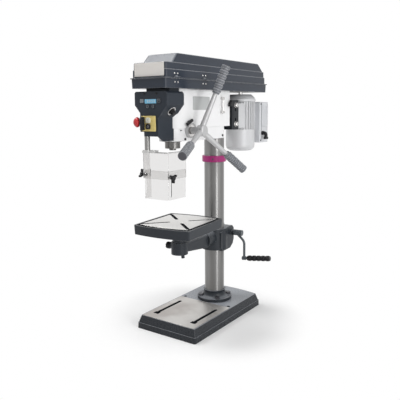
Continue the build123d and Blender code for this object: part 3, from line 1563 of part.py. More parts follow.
def guard_outline(inset, thick):
    # A U-shaped wall in plan, its outer faces set in from the upper shield's
    left = guard_left + inset
    right = guard_right - inset
    front = guard_front + inset
    with BuildSketch() as outline:
        with BuildLine():
            Polyline((left, guard_left_rear), (left, front), (right, front), (right, guard_right_rear),
                     (right - thick, guard_right_rear), (right - thick, front + thick),
                     (left + thick, front + thick),
                     (left + thick, guard_left_rear), close=True)
        make_face()
        fillet(outline.vertices().group_by(Axis.Y)[0], guard_corner)
        fillet(outline.vertices().group_by(Axis.Y)[1], guard_corner - thick)
    return outline.sketch


with BuildPart() as guard_post:
    with BuildSketch(level(guard_top)):
        add(guard_outline(-0.5, 4))
    extrude(amount=guard_frame_h)
    with BuildSketch(level(guard_top)):
        with Locations((guard_left - 1, guard_front - 2)):
            Rectangle(guard_block_right + 1 - guard_left, 24, align=(Align.MIN, Align.MIN))
        fillet(vertices(), 4)
    extrude(amount=guard_block_h)
    with BuildSketch(level(guard_top, post_x, post_y)):
        Circle(post_r)
    extrude(amount=post_top - guard_top)
save(guard_post, "guard_post")

with BuildPart() as upper_shield:
    with BuildSketch(level(upper_shield_low)):
        add(guard_outline(0, shield_t))
    extrude(amount=guard_top - upper_shield_low)
    for across, back, up in shield_screws:
        with BuildSketch(facing_right(across - 5, back, up)):
            Circle(knob_screw_r + running)
        extrude(amount=10, mode=Mode.SUBTRACT)
save(upper_shield, "upper_shield")

with BuildPart() as lower_shield:
    with BuildSketch(level(lower_shield_low)):
        add(guard_outline(shield_t + gap, shield_t))
    extrude(amount=lower_shield_top - lower_shield_low)
    for across, back, up in shield_screws:
        with BuildSketch(facing_right(across - 10, back, up - slot_drop)):
            SlotOverall(shield_slot, 2 * knob_screw_r + 2, rotation=90)
        extrude(amount=20, mode=Mode.SUBTRACT)
save(lower_shield, "lower_shield")


def shield_knob(name, plane, stem, start):
    # Screw through both shields, with a washer inside and a three-lobed knob outside
    inside = plane.offset(-2 * shield_t - 2 * gap - 2)
    with BuildPart() as knob:
        with BuildSketch(inside):
            Circle(knob_screw_r + 2.2)
        extrude(amount=2)
        with BuildSketch(inside):
            Circle(knob_screw_r)
        extrude(amount=2 * shield_t + 3 * gap + 2)
        with BuildSketch(plane.offset(gap)):
            Circle(6)
        extrude(amount=stem)
        with BuildSketch(plane.offset(gap + stem - 1)):
            add(lobed_knob(18, 3.5, 8.5, start))
        extrude(amount=10)
        chamfer(knob.faces().sort_by(Axis(plane.origin, plane.z_dir))[-1].edges(), 1.2)
    save(knob, name)


shield_knob("shield_knob_left", facing_left(guard_left, *left_knob), 10, 90)
shield_knob("shield_knob_right", facing_right(guard_right, *right_knob), 4, -90)
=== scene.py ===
import json
import math
import bpy
import bmesh
from mathutils import Matrix, Vector


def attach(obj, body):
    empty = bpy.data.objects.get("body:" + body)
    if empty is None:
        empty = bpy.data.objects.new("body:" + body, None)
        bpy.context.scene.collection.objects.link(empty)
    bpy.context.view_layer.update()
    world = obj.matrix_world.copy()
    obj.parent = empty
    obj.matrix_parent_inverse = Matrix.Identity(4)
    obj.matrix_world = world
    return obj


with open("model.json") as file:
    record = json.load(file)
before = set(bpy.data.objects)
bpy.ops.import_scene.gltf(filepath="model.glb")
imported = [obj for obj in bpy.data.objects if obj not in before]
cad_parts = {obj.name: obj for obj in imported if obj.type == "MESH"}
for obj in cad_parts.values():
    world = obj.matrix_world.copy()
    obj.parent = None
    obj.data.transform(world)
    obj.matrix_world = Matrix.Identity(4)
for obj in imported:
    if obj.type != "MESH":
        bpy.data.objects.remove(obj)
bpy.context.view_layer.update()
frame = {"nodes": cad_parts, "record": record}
nodes = frame["nodes"]
scene = bpy.context.scene
scene.view_settings.view_transform = "Standard"
print("frame loaded:", len(nodes), "nodes")


# node helpers, for shader and geometry trees alike

def plug(tree, value, socket):
    if isinstance(value, bpy.types.NodeSocket):
        tree.links.new(value, socket)
    else:
        socket.default_value = value


def addNode(tree, kind, inputs=None, **settings):
    node = tree.nodes.new(kind)
    for key, value in settings.items():
        setattr(node, key, value)
    for label, value in (inputs or {}).items():
        plug(tree, value, node.inputs[label])
    return node


def addMath(tree, operation, a, b=0.0, clamp=False):
    node = addNode(tree, "ShaderNodeMath", {0: a, 1: b}, operation=operation, use_clamp=clamp)
    return node.outputs[0]


def addMix(tree, factor, a, b):
    return addNode(tree, "ShaderNodeMix", {0: factor, 6: a, 7: b}, data_type="RGBA").outputs[2]


def addRange(tree, value, band, low=0.0, high=1.0, curve="LINEAR"):
    # stretches a band of values over low to high
    node = addNode(tree, "ShaderNodeMapRange", {0: value, 1: band[0], 2: band[1], 3: low, 4: high},
                   interpolation_type=curve)
    return node.outputs[0]


# shader groups that several finishes share
grainLook = {"patchScale": 6.0, "patchDetail": 3.0, "fineDetail": 4.0, "fineRough": 0.6,
             "patchBand": (0.35, 0.65), "fineBand": (0.3, 0.7)}
edgeLook = {"samples": 6, "leanBand": (0.98, 0.80)}
# painted top light: the paler tone that faces looking upwards are mixed towards, standing in for light from
# above
paintedTopLightLook = {"from": 0.45, "full": 0.97, "tone": (0.180, 0.190, 0.208), "cover": 0.9}
oilLook = {"tone": (0.30, 0.265, 0.245, 1.0), "patchBand": (0.38, 0.60)}
levelSharpness = 20000.0


def newGroup(name, inputs, outputs):
    group = bpy.data.node_groups.new(name, "ShaderNodeTree")
    for label, kind, value in inputs:
        socket = group.interface.new_socket(label, in_out="INPUT", socket_type=kind)
        if value is not None:
            socket.default_value = value
    for label in outputs:
        group.interface.new_socket(label, in_out="OUTPUT", socket_type="NodeSocketFloat")
    return group, group.nodes.new("NodeGroupInput"), group.nodes.new("NodeGroupOutput")


def makeGrainGroup():
    # slow patches of tone and a fine grain that can be drawn out along one direction
    group, inp, out = newGroup(
        "surfaceGrain",
        [("Vector", "NodeSocketVector", None), ("Stretch", "NodeSocketVector", (1, 1, 1)),
         ("Scale", "NodeSocketFloat", 60.0)],
        ["Patch", "Fine"])
    stretch = addNode(group, "ShaderNodeVectorMath",
                      {0: inp.outputs["Vector"], 1: inp.outputs["Stretch"]}, operation="MULTIPLY")
    patch = addNode(group, "ShaderNodeTexNoise",
                    {"Vector": inp.outputs["Vector"], "Scale": grainLook["patchScale"],
                     "Detail": grainLook["patchDetail"]})
    fine = addNode(group, "ShaderNodeTexNoise",
                   {"Vector": stretch.outputs[0], "Scale": inp.outputs["Scale"],
                    "Detail": grainLook["fineDetail"], "Roughness": grainLook["fineRough"]})
    group.links.new(patch.outputs[0], out.inputs["Patch"])
    group.links.new(fine.outputs[0], out.inputs["Fine"])
    return group


def makeLevelGroup():
    # mask that is 1 above a level along one direction and 0 below it
    group, inp, out = newGroup(
        "aboveLevel",
        [("Vector", "NodeSocketVector", None), ("Along", "NodeSocketVector", (0, 0, 1)),
         ("Level", "NodeSocketFloat", 0.05)],
        ["Mask"])
    along = addNode(group, "ShaderNodeVectorMath",
                    {0: inp.outputs["Vector"], 1: inp.outputs["Along"]}, operation="DOT_PRODUCT")
    over = addMath(group, "SUBTRACT", along.outputs["Value"], inp.outputs["Level"])
    group.links.new(addMath(group, "MULTIPLY", over, levelSharpness, clamp=True), out.inputs["Mask"])
    return group


def makeEdgeGroup():
    # mask that rises towards the edges of a solid, where a softened normal leans off the true one; it places
    # the painted highlights along the edges
    group, inp, out = newGroup("edgeMask", [("Radius", "NodeSocketFloat", 0.0015)], ["Mask"])
    soft = addNode(group, "ShaderNodeBevel", {"Radius": inp.outputs["Radius"]}, samples=edgeLook["samples"])
    flat = addNode(group, "ShaderNodeNewGeometry")
    lean = addNode(group, "ShaderNodeVectorMath", {0: soft.outputs[0], 1: flat.outputs["Normal"]},
                   operation="DOT_PRODUCT")
    group.links.new(addRange(group, lean.outputs["Value"], edgeLook["leanBand"]), out.inputs["Mask"])
    return group


def makePaintedTopLightGroup():
    # mask of the faces that look upwards, which are painted paler as painted light from above
    group, inp, out = newGroup("paintedTopLightMask", [("From", "NodeSocketFloat", 0.5)], ["Mask"])
    normal = addNode(group, "ShaderNodeTexCoord").outputs["Normal"]
    facing = addNode(group, "ShaderNodeSeparateXYZ", {0: normal})
    settled = addRange(group, facing.outputs["Z"], (inp.outputs["From"], paintedTopLightLook["full"]))
    group.links.new(settled, out.inputs["Mask"])
    return group


grainGroup = makeGrainGroup()
levelGroup = makeLevelGroup()
edgeGroup = makeEdgeGroup()
paintedTopLightGroup = makePaintedTopLightGroup()


def fillGroup(tree, group, values):
    node = addNode(tree, "ShaderNodeGroup", None, node_tree=group)
    for label, value in values.items():
        plug(tree, value, node.inputs[label])
    return node.outputs


# finishes

def startMaterial(name):
    material = bpy.data.materials.new(name)
    material.use_nodes = True
    tree = material.node_tree
    place = addNode(tree, "ShaderNodeTexCoord").outputs["Object"]
    return material, tree, tree.nodes["Principled BSDF"], place


def shade(colour, factor):
    return tuple(min(1.0, c * factor) for c in colour) + (1.0,)


# painted highlight on the faces that look upwards: mixed towards a paler tone as if lit from above
def addPaintedTopLight(tree, surface, amount):
    mask = fillGroup(tree, paintedTopLightGroup, {"From": paintedTopLightLook["from"]})["Mask"]
    cover = addMath(tree, "MULTIPLY", mask, paintedTopLightLook["cover"])
    return addMix(tree, cover, surface, shade(paintedTopLightLook["tone"], amount))


# painted highlight: edges mixed towards a paler tone, as where they catch the light
def addPaintedEdgeHighlight(tree, surface, colour, edgeHighlight, width):
    mask = fillGroup(tree, edgeGroup, {"Radius": width})["Mask"]
    return addMix(tree, mask, surface, tuple(c + edgeHighlight for c in colour) + (1.0,))


def addRelief(tree, shader, height, strength, distance, rounding):
    # softened edges first, then the grain's relief on top of them
    soft = addNode(tree, "ShaderNodeBevel", {"Radius": rounding}, samples=4)
    bump = addNode(tree, "ShaderNodeBump", {"Strength": strength, "Distance": distance,
                                            "Height": height, "Normal": soft.outputs[0]})
    tree.links.new(bump.outputs[0], shader.inputs["Normal"])


def makeFinish(name, colour, rough, metal=0.0, tone=0.06, roughSwing=0.08, scale=220.0,
               stretch=(1.0, 1.0, 1.0), bump=0.08, depth=0.0003, coat=0.0, rounding=0.0008,
               edgeHighlight=0.0, edgeWidth=0.0014, gloss=0.25, topLight=0.0, drawn=0.0):
    material, tree, shader, place = startMaterial(name)
    grain = fillGroup(tree, grainGroup, {"Vector": place, "Stretch": stretch, "Scale": scale})
    fine = grain["Fine"]
    blend = addMath(tree, "ADD", addMath(tree, "MULTIPLY", grain["Patch"], 0.5),
                    addMath(tree, "MULTIPLY", fine, 0.5))
    toned = addMix(tree, addRange(tree, blend, grainLook["patchBand"]), shade(colour, 1 - tone),
                   shade(colour, 1 + tone))
    # painted top light on the faces that look upwards
    if topLight:
        toned = addPaintedTopLight(tree, toned, topLight)
    # painted highlights along the edges
    if edgeHighlight:
        toned = addPaintedEdgeHighlight(tree, toned, colour, edgeHighlight, edgeWidth)
    tree.links.new(toned, shader.inputs["Base Color"])
    swung = addRange(tree, fine, grainLook["fineBand"], rough - roughSwing, rough + roughSwing)
    tree.links.new(swung, shader.inputs["Roughness"])
    shader.inputs["Metallic"].default_value = metal
    shader.inputs["Specular IOR Level"].default_value = gloss
    if drawn:  # ground round its axis, which draws reflections out along it
        shader.inputs["Anisotropic"].default_value = drawn
        shader.inputs["Anisotropic Rotation"].default_value = 0.25
    if coat:
        shader.inputs["Coat Weight"].default_value = coat
        shader.inputs["Coat Roughness"].default_value = 0.15
    addRelief(tree, shader, fine, bump, depth, rounding)
    return material


def makeGroundCasting(name, paint, paintRough, steel, level, grinding, topLight, edgeHighlight, stain):
    # painted casting whose faces above a level are ground bright, with patches of old oil on them
    look = {"grainScale": 260.0, "lineScale": 90.0, "edgeWidth": 0.0016, "steelRough": (0.30, 0.46),
            "paintSwing": 0.07, "steelMetal": 0.85, "gloss": 0.25}
    material, tree, shader, place = startMaterial(name)
    grain = fillGroup(tree, grainGroup, {"Vector": place, "Scale": look["grainScale"]})
    lines = fillGroup(tree, grainGroup, {"Vector": place, "Stretch": grinding, "Scale": look["lineScale"]})
    mask = fillGroup(tree, levelGroup, {"Vector": place, "Level": level})["Mask"]
    painted = addMix(tree, addRange(tree, grain["Patch"], grainLook["patchBand"]), shade(paint, 0.93),
                     shade(paint, 1.07))
    ground = addMix(tree, addRange(tree, lines["Fine"], grainLook["fineBand"]), shade(steel, 0.9),
                    shade(steel, 1.08))
    oiled = addRange(tree, lines["Patch"], oilLook["patchBand"], stain, 0.0)
    ground = addMix(tree, oiled, ground, oilLook["tone"])
    # painted top light on the painted faces that look upwards
    painted = addPaintedTopLight(tree, painted, topLight)
    # painted highlights along the edges of the painted faces
    painted = addPaintedEdgeHighlight(tree, painted, paint, edgeHighlight, look["edgeWidth"])
    tree.links.new(addMix(tree, mask, painted, ground), shader.inputs["Base Color"])
    steelRough = addRange(tree, lines["Fine"], grainLook["fineBand"], *look["steelRough"])
    paintedRough = addRange(tree, grain["Fine"], grainLook["fineBand"], paintRough - look["paintSwing"],
                            paintRough + look["paintSwing"])
    below = addMath(tree, "SUBTRACT", 1.0, mask)
    mixedRough = addMath(tree, "ADD", addMath(tree, "MULTIPLY", mask, steelRough),
                         addMath(tree, "MULTIPLY", below, paintedRough))
    tree.links.new(mixedRough, shader.inputs["Roughness"])
    tree.links.new(addMath(tree, "MULTIPLY", mask, look["steelMetal"]), shader.inputs["Metallic"])
    shader.inputs["Specular IOR Level"].default_value = look["gloss"]
    addRelief(tree, shader, grain["Fine"], 0.12, 0.0004, 0.0015)
    return material


def makeTwoTone(name, lower, upper, level):
    # plastic below a level, turned steel above it
    look = {"stretch": (1.0, 1.0, 20.0), "scale": 80.0, "steelMetal": 0.9, "rough": (0.24, 0.36)}
    material, tree, shader, place = startMaterial(name)
    grain = fillGroup(tree, grainGroup, {"Vector": place, "Stretch": look["stretch"], "Scale": look["scale"]})
    mask = fillGroup(tree, levelGroup, {"Vector": place, "Level": level})["Mask"]
    tree.links.new(addMix(tree, mask, lower + (1.0,), upper + (1.0,)), shader.inputs["Base Color"])
    tree.links.new(addMath(tree, "MULTIPLY", mask, look["steelMetal"]), shader.inputs["Metallic"])
    swung = addRange(tree, grain["Fine"], grainLook["fineBand"], *look["rough"])
    tree.links.new(swung, shader.inputs["Roughness"])
    addRelief(tree, shader, grain["Fine"], 0.05, 0.0003, 0.0008)
    return material


def makeClear(name, colour, rough):
    # clear sheet with faint wipe marks in its gloss
    look = {"stretch": (1.0, 1.0, 8.0), "scale": 14.0, "wipeBand": (0.4, 0.75), "wipeRough": 0.08, "bend": 1.42}
    material, tree, shader, place = startMaterial(name)
    grain = fillGroup(tree, grainGroup, {"Vector": place, "Stretch": look["stretch"], "Scale": look["scale"]})
    wiped = addRange(tree, grain["Fine"], look["wipeBand"], rough, rough + look["wipeRough"])
    tree.links.new(wiped, shader.inputs["Roughness"])
    shader.inputs["Base Color"].default_value = colour + (1.0,)
    shader.inputs["Transmission Weight"].default_value = 1.0
    shader.inputs["IOR"].default_value = look["bend"]
    return material


castingPaint = (0.022, 0.026, 0.032)
# topLight sets how pale the painted top light on upward faces is; edgeHighlight sets how pale the painted
# highlight along edges is
finishes = {
    "castingGrey": makeFinish("castingGrey", castingPaint, 0.38, bump=0.10, depth=0.0004, rounding=0.0015,
                              edgeHighlight=0.07, topLight=1.00),
    "baseCasting": makeGroundCasting("baseCasting", (0.020, 0.023, 0.028), 0.28, (0.60, 0.585, 0.565),
                                     level=0.0507, grinding=(1.0, 30.0, 1.0), topLight=1.70, edgeHighlight=0.035,
                                     stain=0.60),
    "tableCasting": makeGroundCasting("tableCasting", castingPaint, 0.40, (0.74, 0.735, 0.72),
                                      level=0.4265, grinding=(30.0, 1.0, 1.0), topLight=0.20, edgeHighlight=0.20,
                                      stain=0.15),
    "groundSteel": makeFinish("groundSteel", (0.225, 0.222, 0.219), 0.34, metal=1.0, tone=0.03, scale=60.0,
                              stretch=(1.0, 1.0, 0.05), roughSwing=0.04, bump=0.0, drawn=0.9),
    "quillSteel": makeFinish("quillSteel", (0.15, 0.146, 0.142), 0.32, metal=1.0, tone=0.04, scale=60.0,
                             stretch=(1.0, 1.0, 8.0), bump=0.0),
    "crankGrey": makeFinish("crankGrey", (0.085, 0.097, 0.108), 0.34, scale=300.0, edgeHighlight=0.10),
    "darkSteel": makeFinish("darkSteel", (0.09, 0.09, 0.10), 0.38, metal=0.7, scale=300.0),
    "collarMagenta": makeFinish("collarMagenta", (0.33, 0.020, 0.150), 0.36, coat=0.2),
    "headWhite": makeFinish("headWhite", (0.80, 0.80, 0.805), 0.40, tone=0.015, bump=0.05, rounding=0.0015),
    "panelAnthracite": makeFinish("panelAnthracite", (0.020, 0.026, 0.036), 0.42, scale=500.0, bump=0.08,
                                  edgeHighlight=0.05),
    "switchYellow": makeFinish("switchYellow", (0.72, 0.58, 0.22), 0.42, tone=0.03),
    "buttonPale": makeFinish("buttonPale", (0.80, 0.81, 0.68), 0.34, tone=0.02, coat=0.2),
    "buttonDark": makeFinish("buttonDark", (0.030, 0.028, 0.028), 0.30, coat=0.3),
    "buttonRed": makeFinish("buttonRed", (0.44, 0.022, 0.024), 0.34, coat=0.3),
    "blackPlastic": makeFinish("blackPlastic", (0.010, 0.010, 0.012), 0.40, scale=500.0, edgeHighlight=0.02),
    "keyDark": makeFinish("keyDark", (0.022, 0.026, 0.032), 0.38, tone=0.03),
    "keyGrey": makeFinish("keyGrey", (0.20, 0.22, 0.24), 0.40, tone=0.03),
    "coverBlueGrey": makeFinish("coverBlueGrey", (0.020, 0.027, 0.041), 0.24, scale=420.0, bump=0.05,
                                depth=0.0003, roughSwing=0.04, rounding=0.0015, edgeHighlight=0.22,
                                edgeWidth=0.0020, gloss=0.32, topLight=1.7),
    "brightSteel": makeFinish("brightSteel", (0.62, 0.61, 0.60), 0.24, metal=1.0, scale=60.0,
                              stretch=(1.0, 1.0, 0.1), bump=0.0),
    "handleSilver": makeFinish("handleSilver", (0.46, 0.46, 0.465), 0.36, metal=0.45, scale=160.0, bump=0.04),
    "gripGrey": makeFinish("gripGrey", (0.145, 0.152, 0.168), 0.40, scale=420.0, bump=0.06, edgeHighlight=0.42,
                           edgeWidth=0.0026),
    "motorSilver": makeFinish("motorSilver", (0.58, 0.585, 0.595), 0.40, metal=0.1, tone=0.04, scale=260.0,
                              bump=0.10),
    "motorBlack": makeFinish("motorBlack", (0.012, 0.014, 0.018), 0.40, scale=300.0),
    "boxPale": makeFinish("boxPale", (0.60, 0.61, 0.63), 0.44, tone=0.03),
    "pulleyMetal": makeFinish("pulleyMetal", (0.62, 0.63, 0.64), 0.30, metal=0.9, stretch=(1.0, 1.0, 16.0),
                              scale=60.0),
    "beltRubber": makeFinish("beltRubber", (0.016, 0.016, 0.017), 0.70, scale=500.0),
    "springSteel": makeFinish("springSteel", (0.22, 0.23, 0.25), 0.34, metal=0.9),
    "guardFrame": makeTwoTone("guardFrame", (0.60, 0.60, 0.59), (0.26, 0.256, 0.25), 0.6925),
    "guardClear": makeClear("guardClear", (0.80, 0.793, 0.788), 0.03),
    "displayBlue": makeFinish("displayBlue", (0.19, 0.50, 0.72), 0.18, tone=0.03, coat=0.4),
    "labelGrey": makeFinish("labelGrey", (0.44, 0.45, 0.45), 0.38, metal=0.2, tone=0.03, scale=90.0,
                            stretch=(1.0, 1.0, 12.0)),
    "labelPale": makeFinish("labelPale", (0.72, 0.69, 0.66), 0.36, tone=0.02, scale=90.0,
                            stretch=(12.0, 1.0, 1.0)),
    "markDark": makeFinish("markDark", (0.010, 0.016, 0.022), 0.40, scale=500.0),
    "markPale": makeFinish("markPale", (0.62, 0.63, 0.64), 0.50, scale=500.0),
    "markGrey": makeFinish("markGrey", (0.27, 0.29, 0.31), 0.50, scale=500.0),
}
slotFinish = {
    "casting_grey": "castingGrey", "ground_steel": "groundSteel", "dark_steel": "darkSteel",
    "collar_magenta": "collarMagenta", "head_white": "headWhite", "panel_anthracite": "panelAnthracite",
    "display_blue": "displayBlue", "switch_yellow": "switchYellow", "button_green": "buttonPale",
    "button_red": "buttonRed", "black_plastic": "blackPlastic", "key_grey": "keyDark",
    "cover_blue_grey": "coverBlueGrey", "bright_steel": "brightSteel", "handle_silver": "handleSilver",
    "grip_grey": "gripGrey", "motor_silver": "motorSilver", "motor_black": "motorBlack",
    "box_pale": "boxPale", "pulley_metal": "pulleyMetal", "belt_rubber": "beltRubber",
    "spring_steel": "springSteel", "guard_clear": "guardClear", "guard_frame": "guardFrame",
}
ownFinish = {"base": "baseCasting", "table": "tableCasting", "stop_button": "buttonDark", "key_left": "keyGrey",
             "quill": "quillSteel", "spindle": "quillSteel", "depth_ring": "handleSilver",
             "crank_arm": "crankGrey"}
for part in frame["record"]["subparts"]:
    finish = finishes[ownFinish.get(part["node"], slotFinish[part["material_slot"]])]
    mesh = nodes[part["node"]].data
    mesh.materials.clear()
    mesh.materials.append(finish)


# small fittings, built by geometry nodes on points that carry their own facing and size

def startTree(name, sizes):
    tree = bpy.data.node_groups.new(name, "GeometryNodeTree")
    tree.interface.new_socket("Geometry", in_out="INPUT", socket_type="NodeSocketGeometry")
    for label, value in sizes.items():
        socket = tree.interface.new_socket(label, in_out="INPUT", socket_type="NodeSocketFloat")
        socket.default_value = value
    tree.interface.new_socket("Finish", in_out="INPUT", socket_type="NodeSocketMaterial")
    tree.interface.new_socket("Geometry", in_out="OUTPUT", socket_type="NodeSocketGeometry")
    return tree, tree.nodes.new("NodeGroupInput").outputs


def readVector(tree, label):
    node = addNode(tree, "GeometryNodeInputNamedAttribute", {"Name": label}, data_type="FLOAT_VECTOR")
    return node.outputs[0]


def endTree(tree, given, shape):
    facing, size = readVector(tree, "facing"), readVector(tree, "size")
    turn = addNode(tree, "FunctionNodeAlignRotationToVector", {"Vector": facing}, axis="Z")
    points = addNode(tree, "GeometryNodeMeshToPoints", {"Mesh": given["Geometry"]})
    placed = addNode(tree, "GeometryNodeInstanceOnPoints",
                     {"Points": points.outputs[0], "Instance": shape, "Rotation": turn.outputs[0],
                      "Scale": size})
    real = addNode(tree, "GeometryNodeRealizeInstances", {"Geometry": placed.outputs[0]})
    coated = addNode(tree, "GeometryNodeSetMaterial",
                     {"Geometry": real.outputs[0], "Material": given["Finish"]})
    tree.links.new(coated.outputs[0], tree.nodes.new("NodeGroupOutput").inputs[0])
    return tree


def lifted(tree, geometry, height):
    rise = addNode(tree, "ShaderNodeCombineXYZ", {"Z": height})
    node = addNode(tree, "GeometryNodeTransform", {"Geometry": geometry, "Translation": rise.outputs[0]})
    return node.outputs[0]


def scaled(tree, geometry, x, y, z):
    scale = addNode(tree, "ShaderNodeCombineXYZ", {"X": x, "Y": y, "Z": z})
    node = addNode(tree, "GeometryNodeTransform", {"Geometry": geometry, "Scale": scale.outputs[0]})
    return node.outputs[0]


def joined(tree, *pieces):
    join = tree.nodes.new("GeometryNodeJoinGeometry")
    for piece in pieces:
        tree.links.new(piece, join.inputs[0])
    return join.outputs[0]


def addDrum(tree, sides, radius, topRadius, height):
    # a prism or cone frustum that stands on its own origin
    drum = addNode(tree, "GeometryNodeMeshCone", {"Vertices": sides, "Radius Bottom": radius,
                                                  "Radius Top": topRadius, "Depth": height})
    return drum.outputs[0]


def makeRivetTree():
    tree, given = startTree("rivetTree", {"Radius": 0.003, "Rise": 0.0015})
    ball = addNode(tree, "GeometryNodeMeshUVSphere", {"Segments": 16, "Rings": 8, "Radius": 1.0})
    dome = scaled(tree, ball.outputs[0], given["Radius"], given["Radius"], given["Rise"])
    return endTree(tree, given, dome)


def makeBoltTree():
    # hexagon head with a bevelled crown on a round washer
    tree, given = startTree("boltTree", {"Across corners": 0.0098, "Head": 0.006, "Washer": 0.011,
                                         "Washer height": 0.002})
    corners, washerTop = given["Across corners"], given["Washer height"]
    washer = addDrum(tree, 28, given["Washer"], addMath(tree, "MULTIPLY", given["Washer"], 0.96), washerTop)
    head = lifted(tree, addDrum(tree, 6, corners, corners, given["Head"]), washerTop)
    crown = addDrum(tree, 6, corners, addMath(tree, "MULTIPLY", corners, 0.8),
                    addMath(tree, "MULTIPLY", given["Head"], 0.22))
    crown = lifted(tree, crown, addMath(tree, "ADD", washerTop, given["Head"]))
    return endTree(tree, given, joined(tree, washer, head, crown))


def makeSocketTree():
    # round head with a hexagon socket cut into it
    tree, given = startTree("socketTree", {"Radius": 0.005, "Head": 0.003, "Socket": 0.0026})
    head = addDrum(tree, 24, given["Radius"], addMath(tree, "MULTIPLY", given["Radius"], 0.92), given["Head"])
    hole = lifted(tree, addDrum(tree, 6, given["Socket"], given["Socket"], given["Head"]),
                  addMath(tree, "MULTIPLY", given["Head"], 0.35))
    cut = addNode(tree, "GeometryNodeMeshBoolean", None, operation="DIFFERENCE")
    tree.links.new(head, cut.inputs["Mesh 1"])
    tree.links.new(hole, cut.inputs["Mesh 2"])
    return endTree(tree, given, cut.outputs[0])


def makeBarTree():
    # a bar with a bevelled top: long on its own X, wide on its own Y
    tree, given = startTree("barTree", {"Length": 0.01, "Width": 0.002, "Rise": 0.001})
    foot = addDrum(tree, 4, math.sqrt(0.5), math.sqrt(0.5) * 0.86, 1.0)
    turned = addNode(tree, "GeometryNodeTransform", {"Geometry": foot, "Rotation": (0.0, 0.0, math.pi / 4)})
    bar = scaled(tree, turned.outputs[0], given["Length"], given["Width"], given["Rise"])
    return endTree(tree, given, bar)


def makePlugTree():
    # a shallow cap: straight skirt, then a low cone with a flat middle
    tree, given = startTree("plugTree", {"Radius": 0.012, "Skirt": 0.0012, "Crown": 0.0012})
    radius = given["Radius"]
    skirt = addDrum(tree, 32, radius, radius, given["Skirt"])
    crown = addDrum(tree, 32, radius, addMath(tree, "MULTIPLY", radius, 0.78), given["Crown"])
    return endTree(tree, given, joined(tree, skirt, lifted(tree, crown, given["Skirt"])))


fittingTrees = {"rivet": makeRivetTree(), "bolt": makeBoltTree(), "socket": makeSocketTree(),
                "bar": makeBarTree(), "plug": makePlugTree()}
sharpAngle = math.radians(32)


def finishPiece(piece, body):
    mesh = piece.data
    mesh.shade_smooth()
    mesh.set_sharp_from_angle(angle=sharpAngle)
    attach(piece, body)


def plainMesh(holder):
    bpy.context.view_layer.update()
    evaluated = holder.evaluated_get(bpy.context.evaluated_depsgraph_get())
    return bpy.data.meshes.new_from_object(evaluated)


def addFittings(name, kind, places, body, slot, finish, **sizes):
    # places: (point, facing) or (point, facing, size)
    mesh = bpy.data.meshes.new(name)
    mesh.from_pydata([tuple(place[0]) for place in places], [], [])
    rows = {"facing": [place[1] for place in places],
            "size": [place[2] if len(place) > 2 else (1.0, 1.0, 1.0) for place in places]}
    for label, vectors in rows.items():
        attribute = mesh.attributes.new(label, "FLOAT_VECTOR", "POINT")
        attribute.data.foreach_set("vector", [number for vector in vectors for number in vector])
    piece = bpy.data.objects.new(name, mesh)
    scene.collection.objects.link(piece)
    modifier = piece.modifiers.new("fittings", "NODES")
    modifier.node_group = fittingTrees[kind]
    values = {"Finish": finishes[finish], **sizes}
    for item in modifier.node_group.interface.items_tree:
        if item.in_out == "INPUT" and item.name in values:
            modifier[item.identifier] = values[item.name]
    plain = plainMesh(piece)
    piece.modifiers.clear()
    piece.data = plain
    finishPiece(piece, body)


def addMesh(name, vertices, faces, body, finish):
    mesh = bpy.data.meshes.new(name)
    mesh.from_pydata(vertices, [], faces)
    mesh.materials.append(finishes[finish])
    shape = bmesh.new()
    shape.from_mesh(mesh)
    bmesh.ops.recalc_face_normals(shape, faces=shape.faces)
    shape.to_mesh(mesh)
    shape.free()
    piece = bpy.data.objects.new(name, mesh)
    scene.collection.objects.link(piece)
    finishPiece(piece, body)


cornerSteps = 6
ringCount = 4 * (cornerSteps + 1)


def roundedRings(origin, across, up, size, corner, rings):
    # rings of points along a rectangle with round corners, each with its (inset, height)
    across, up, origin = Vector(across), Vector(up), Vector(origin)
    out = across.cross(up)
    vertices = []
    for inset, height in rings:
        for quarter in range(4):
            signX = 1 if quarter in (0, 3) else -1
            signY = 1 if quarter in (0, 1) else -1
            for step in range(cornerSteps + 1):
                angle = math.radians(90 * quarter + 90 * step / cornerSteps)
                x = signX * (size[0] / 2 - corner) + math.cos(angle) * (corner - inset)
                y = signY * (size[1] / 2 - corner) + math.sin(angle) * (corner - inset)
                vertices.append(tuple(origin + across * x + up * y + out * height))
    return vertices


def bridge(count, pairs):
    # quads between rings of count points, for pairs of ring numbers
    faces = []
    for ring, following in pairs:
        for index in range(count):
            after = (index + 1) % count
            faces.append((ring * count + index, ring * count + after, following * count + after,
                          following * count + index))
    return faces


def closedLoop(count):
    return [(index, (index + 1) % count) for index in range(count)]


def addPlate(name, origin, across, up, size, thick, corner, body, finish, bevel=0.0004):
    # a thin plate with round corners and a bevelled face, standing out along across x up
    rings = [(0.0, 0.0), (0.0, thick - bevel), (bevel, thick)]
    vertices = roundedRings(origin, across, up, size, corner, rings)
    faces = [tuple(range(ringCount)), tuple(range(2 * ringCount, 3 * ringCount))]
    addMesh(name, vertices, faces + bridge(ringCount, [(0, 1), (1, 2)]), body, finish)


def addFrame(name, origin, across, up, size, width, thick, corner, body, finish):
    # a flat band that follows a rectangle with round corners
    rings = [(0.0, 0.0), (0.0, thick), (width, thick), (width, 0.0)]
    vertices = roundedRings(origin, across, up, size, corner, rings)
    addMesh(name, vertices, bridge(ringCount, closedLoop(len(rings))), body, finish)


def addLathe(name, origin, axis, profile, body, finish, sides=48):
    # a ring turned about an axis from a closed profile of (radius, height) points
    axis, origin = Vector(axis).normalized(), Vector(origin)
    across = axis.orthogonal().normalized()
    other = axis.cross(across)
    vertices = []
    for side in range(sides):
        angle = 2 * math.pi * side / sides
        out = across * math.cos(angle) + other * math.sin(angle)
        vertices += [tuple(origin + out * radius + axis * height) for radius, height in profile]
    addMesh(name, vertices, bridge(len(profile), closedLoop(sides)), body, finish)


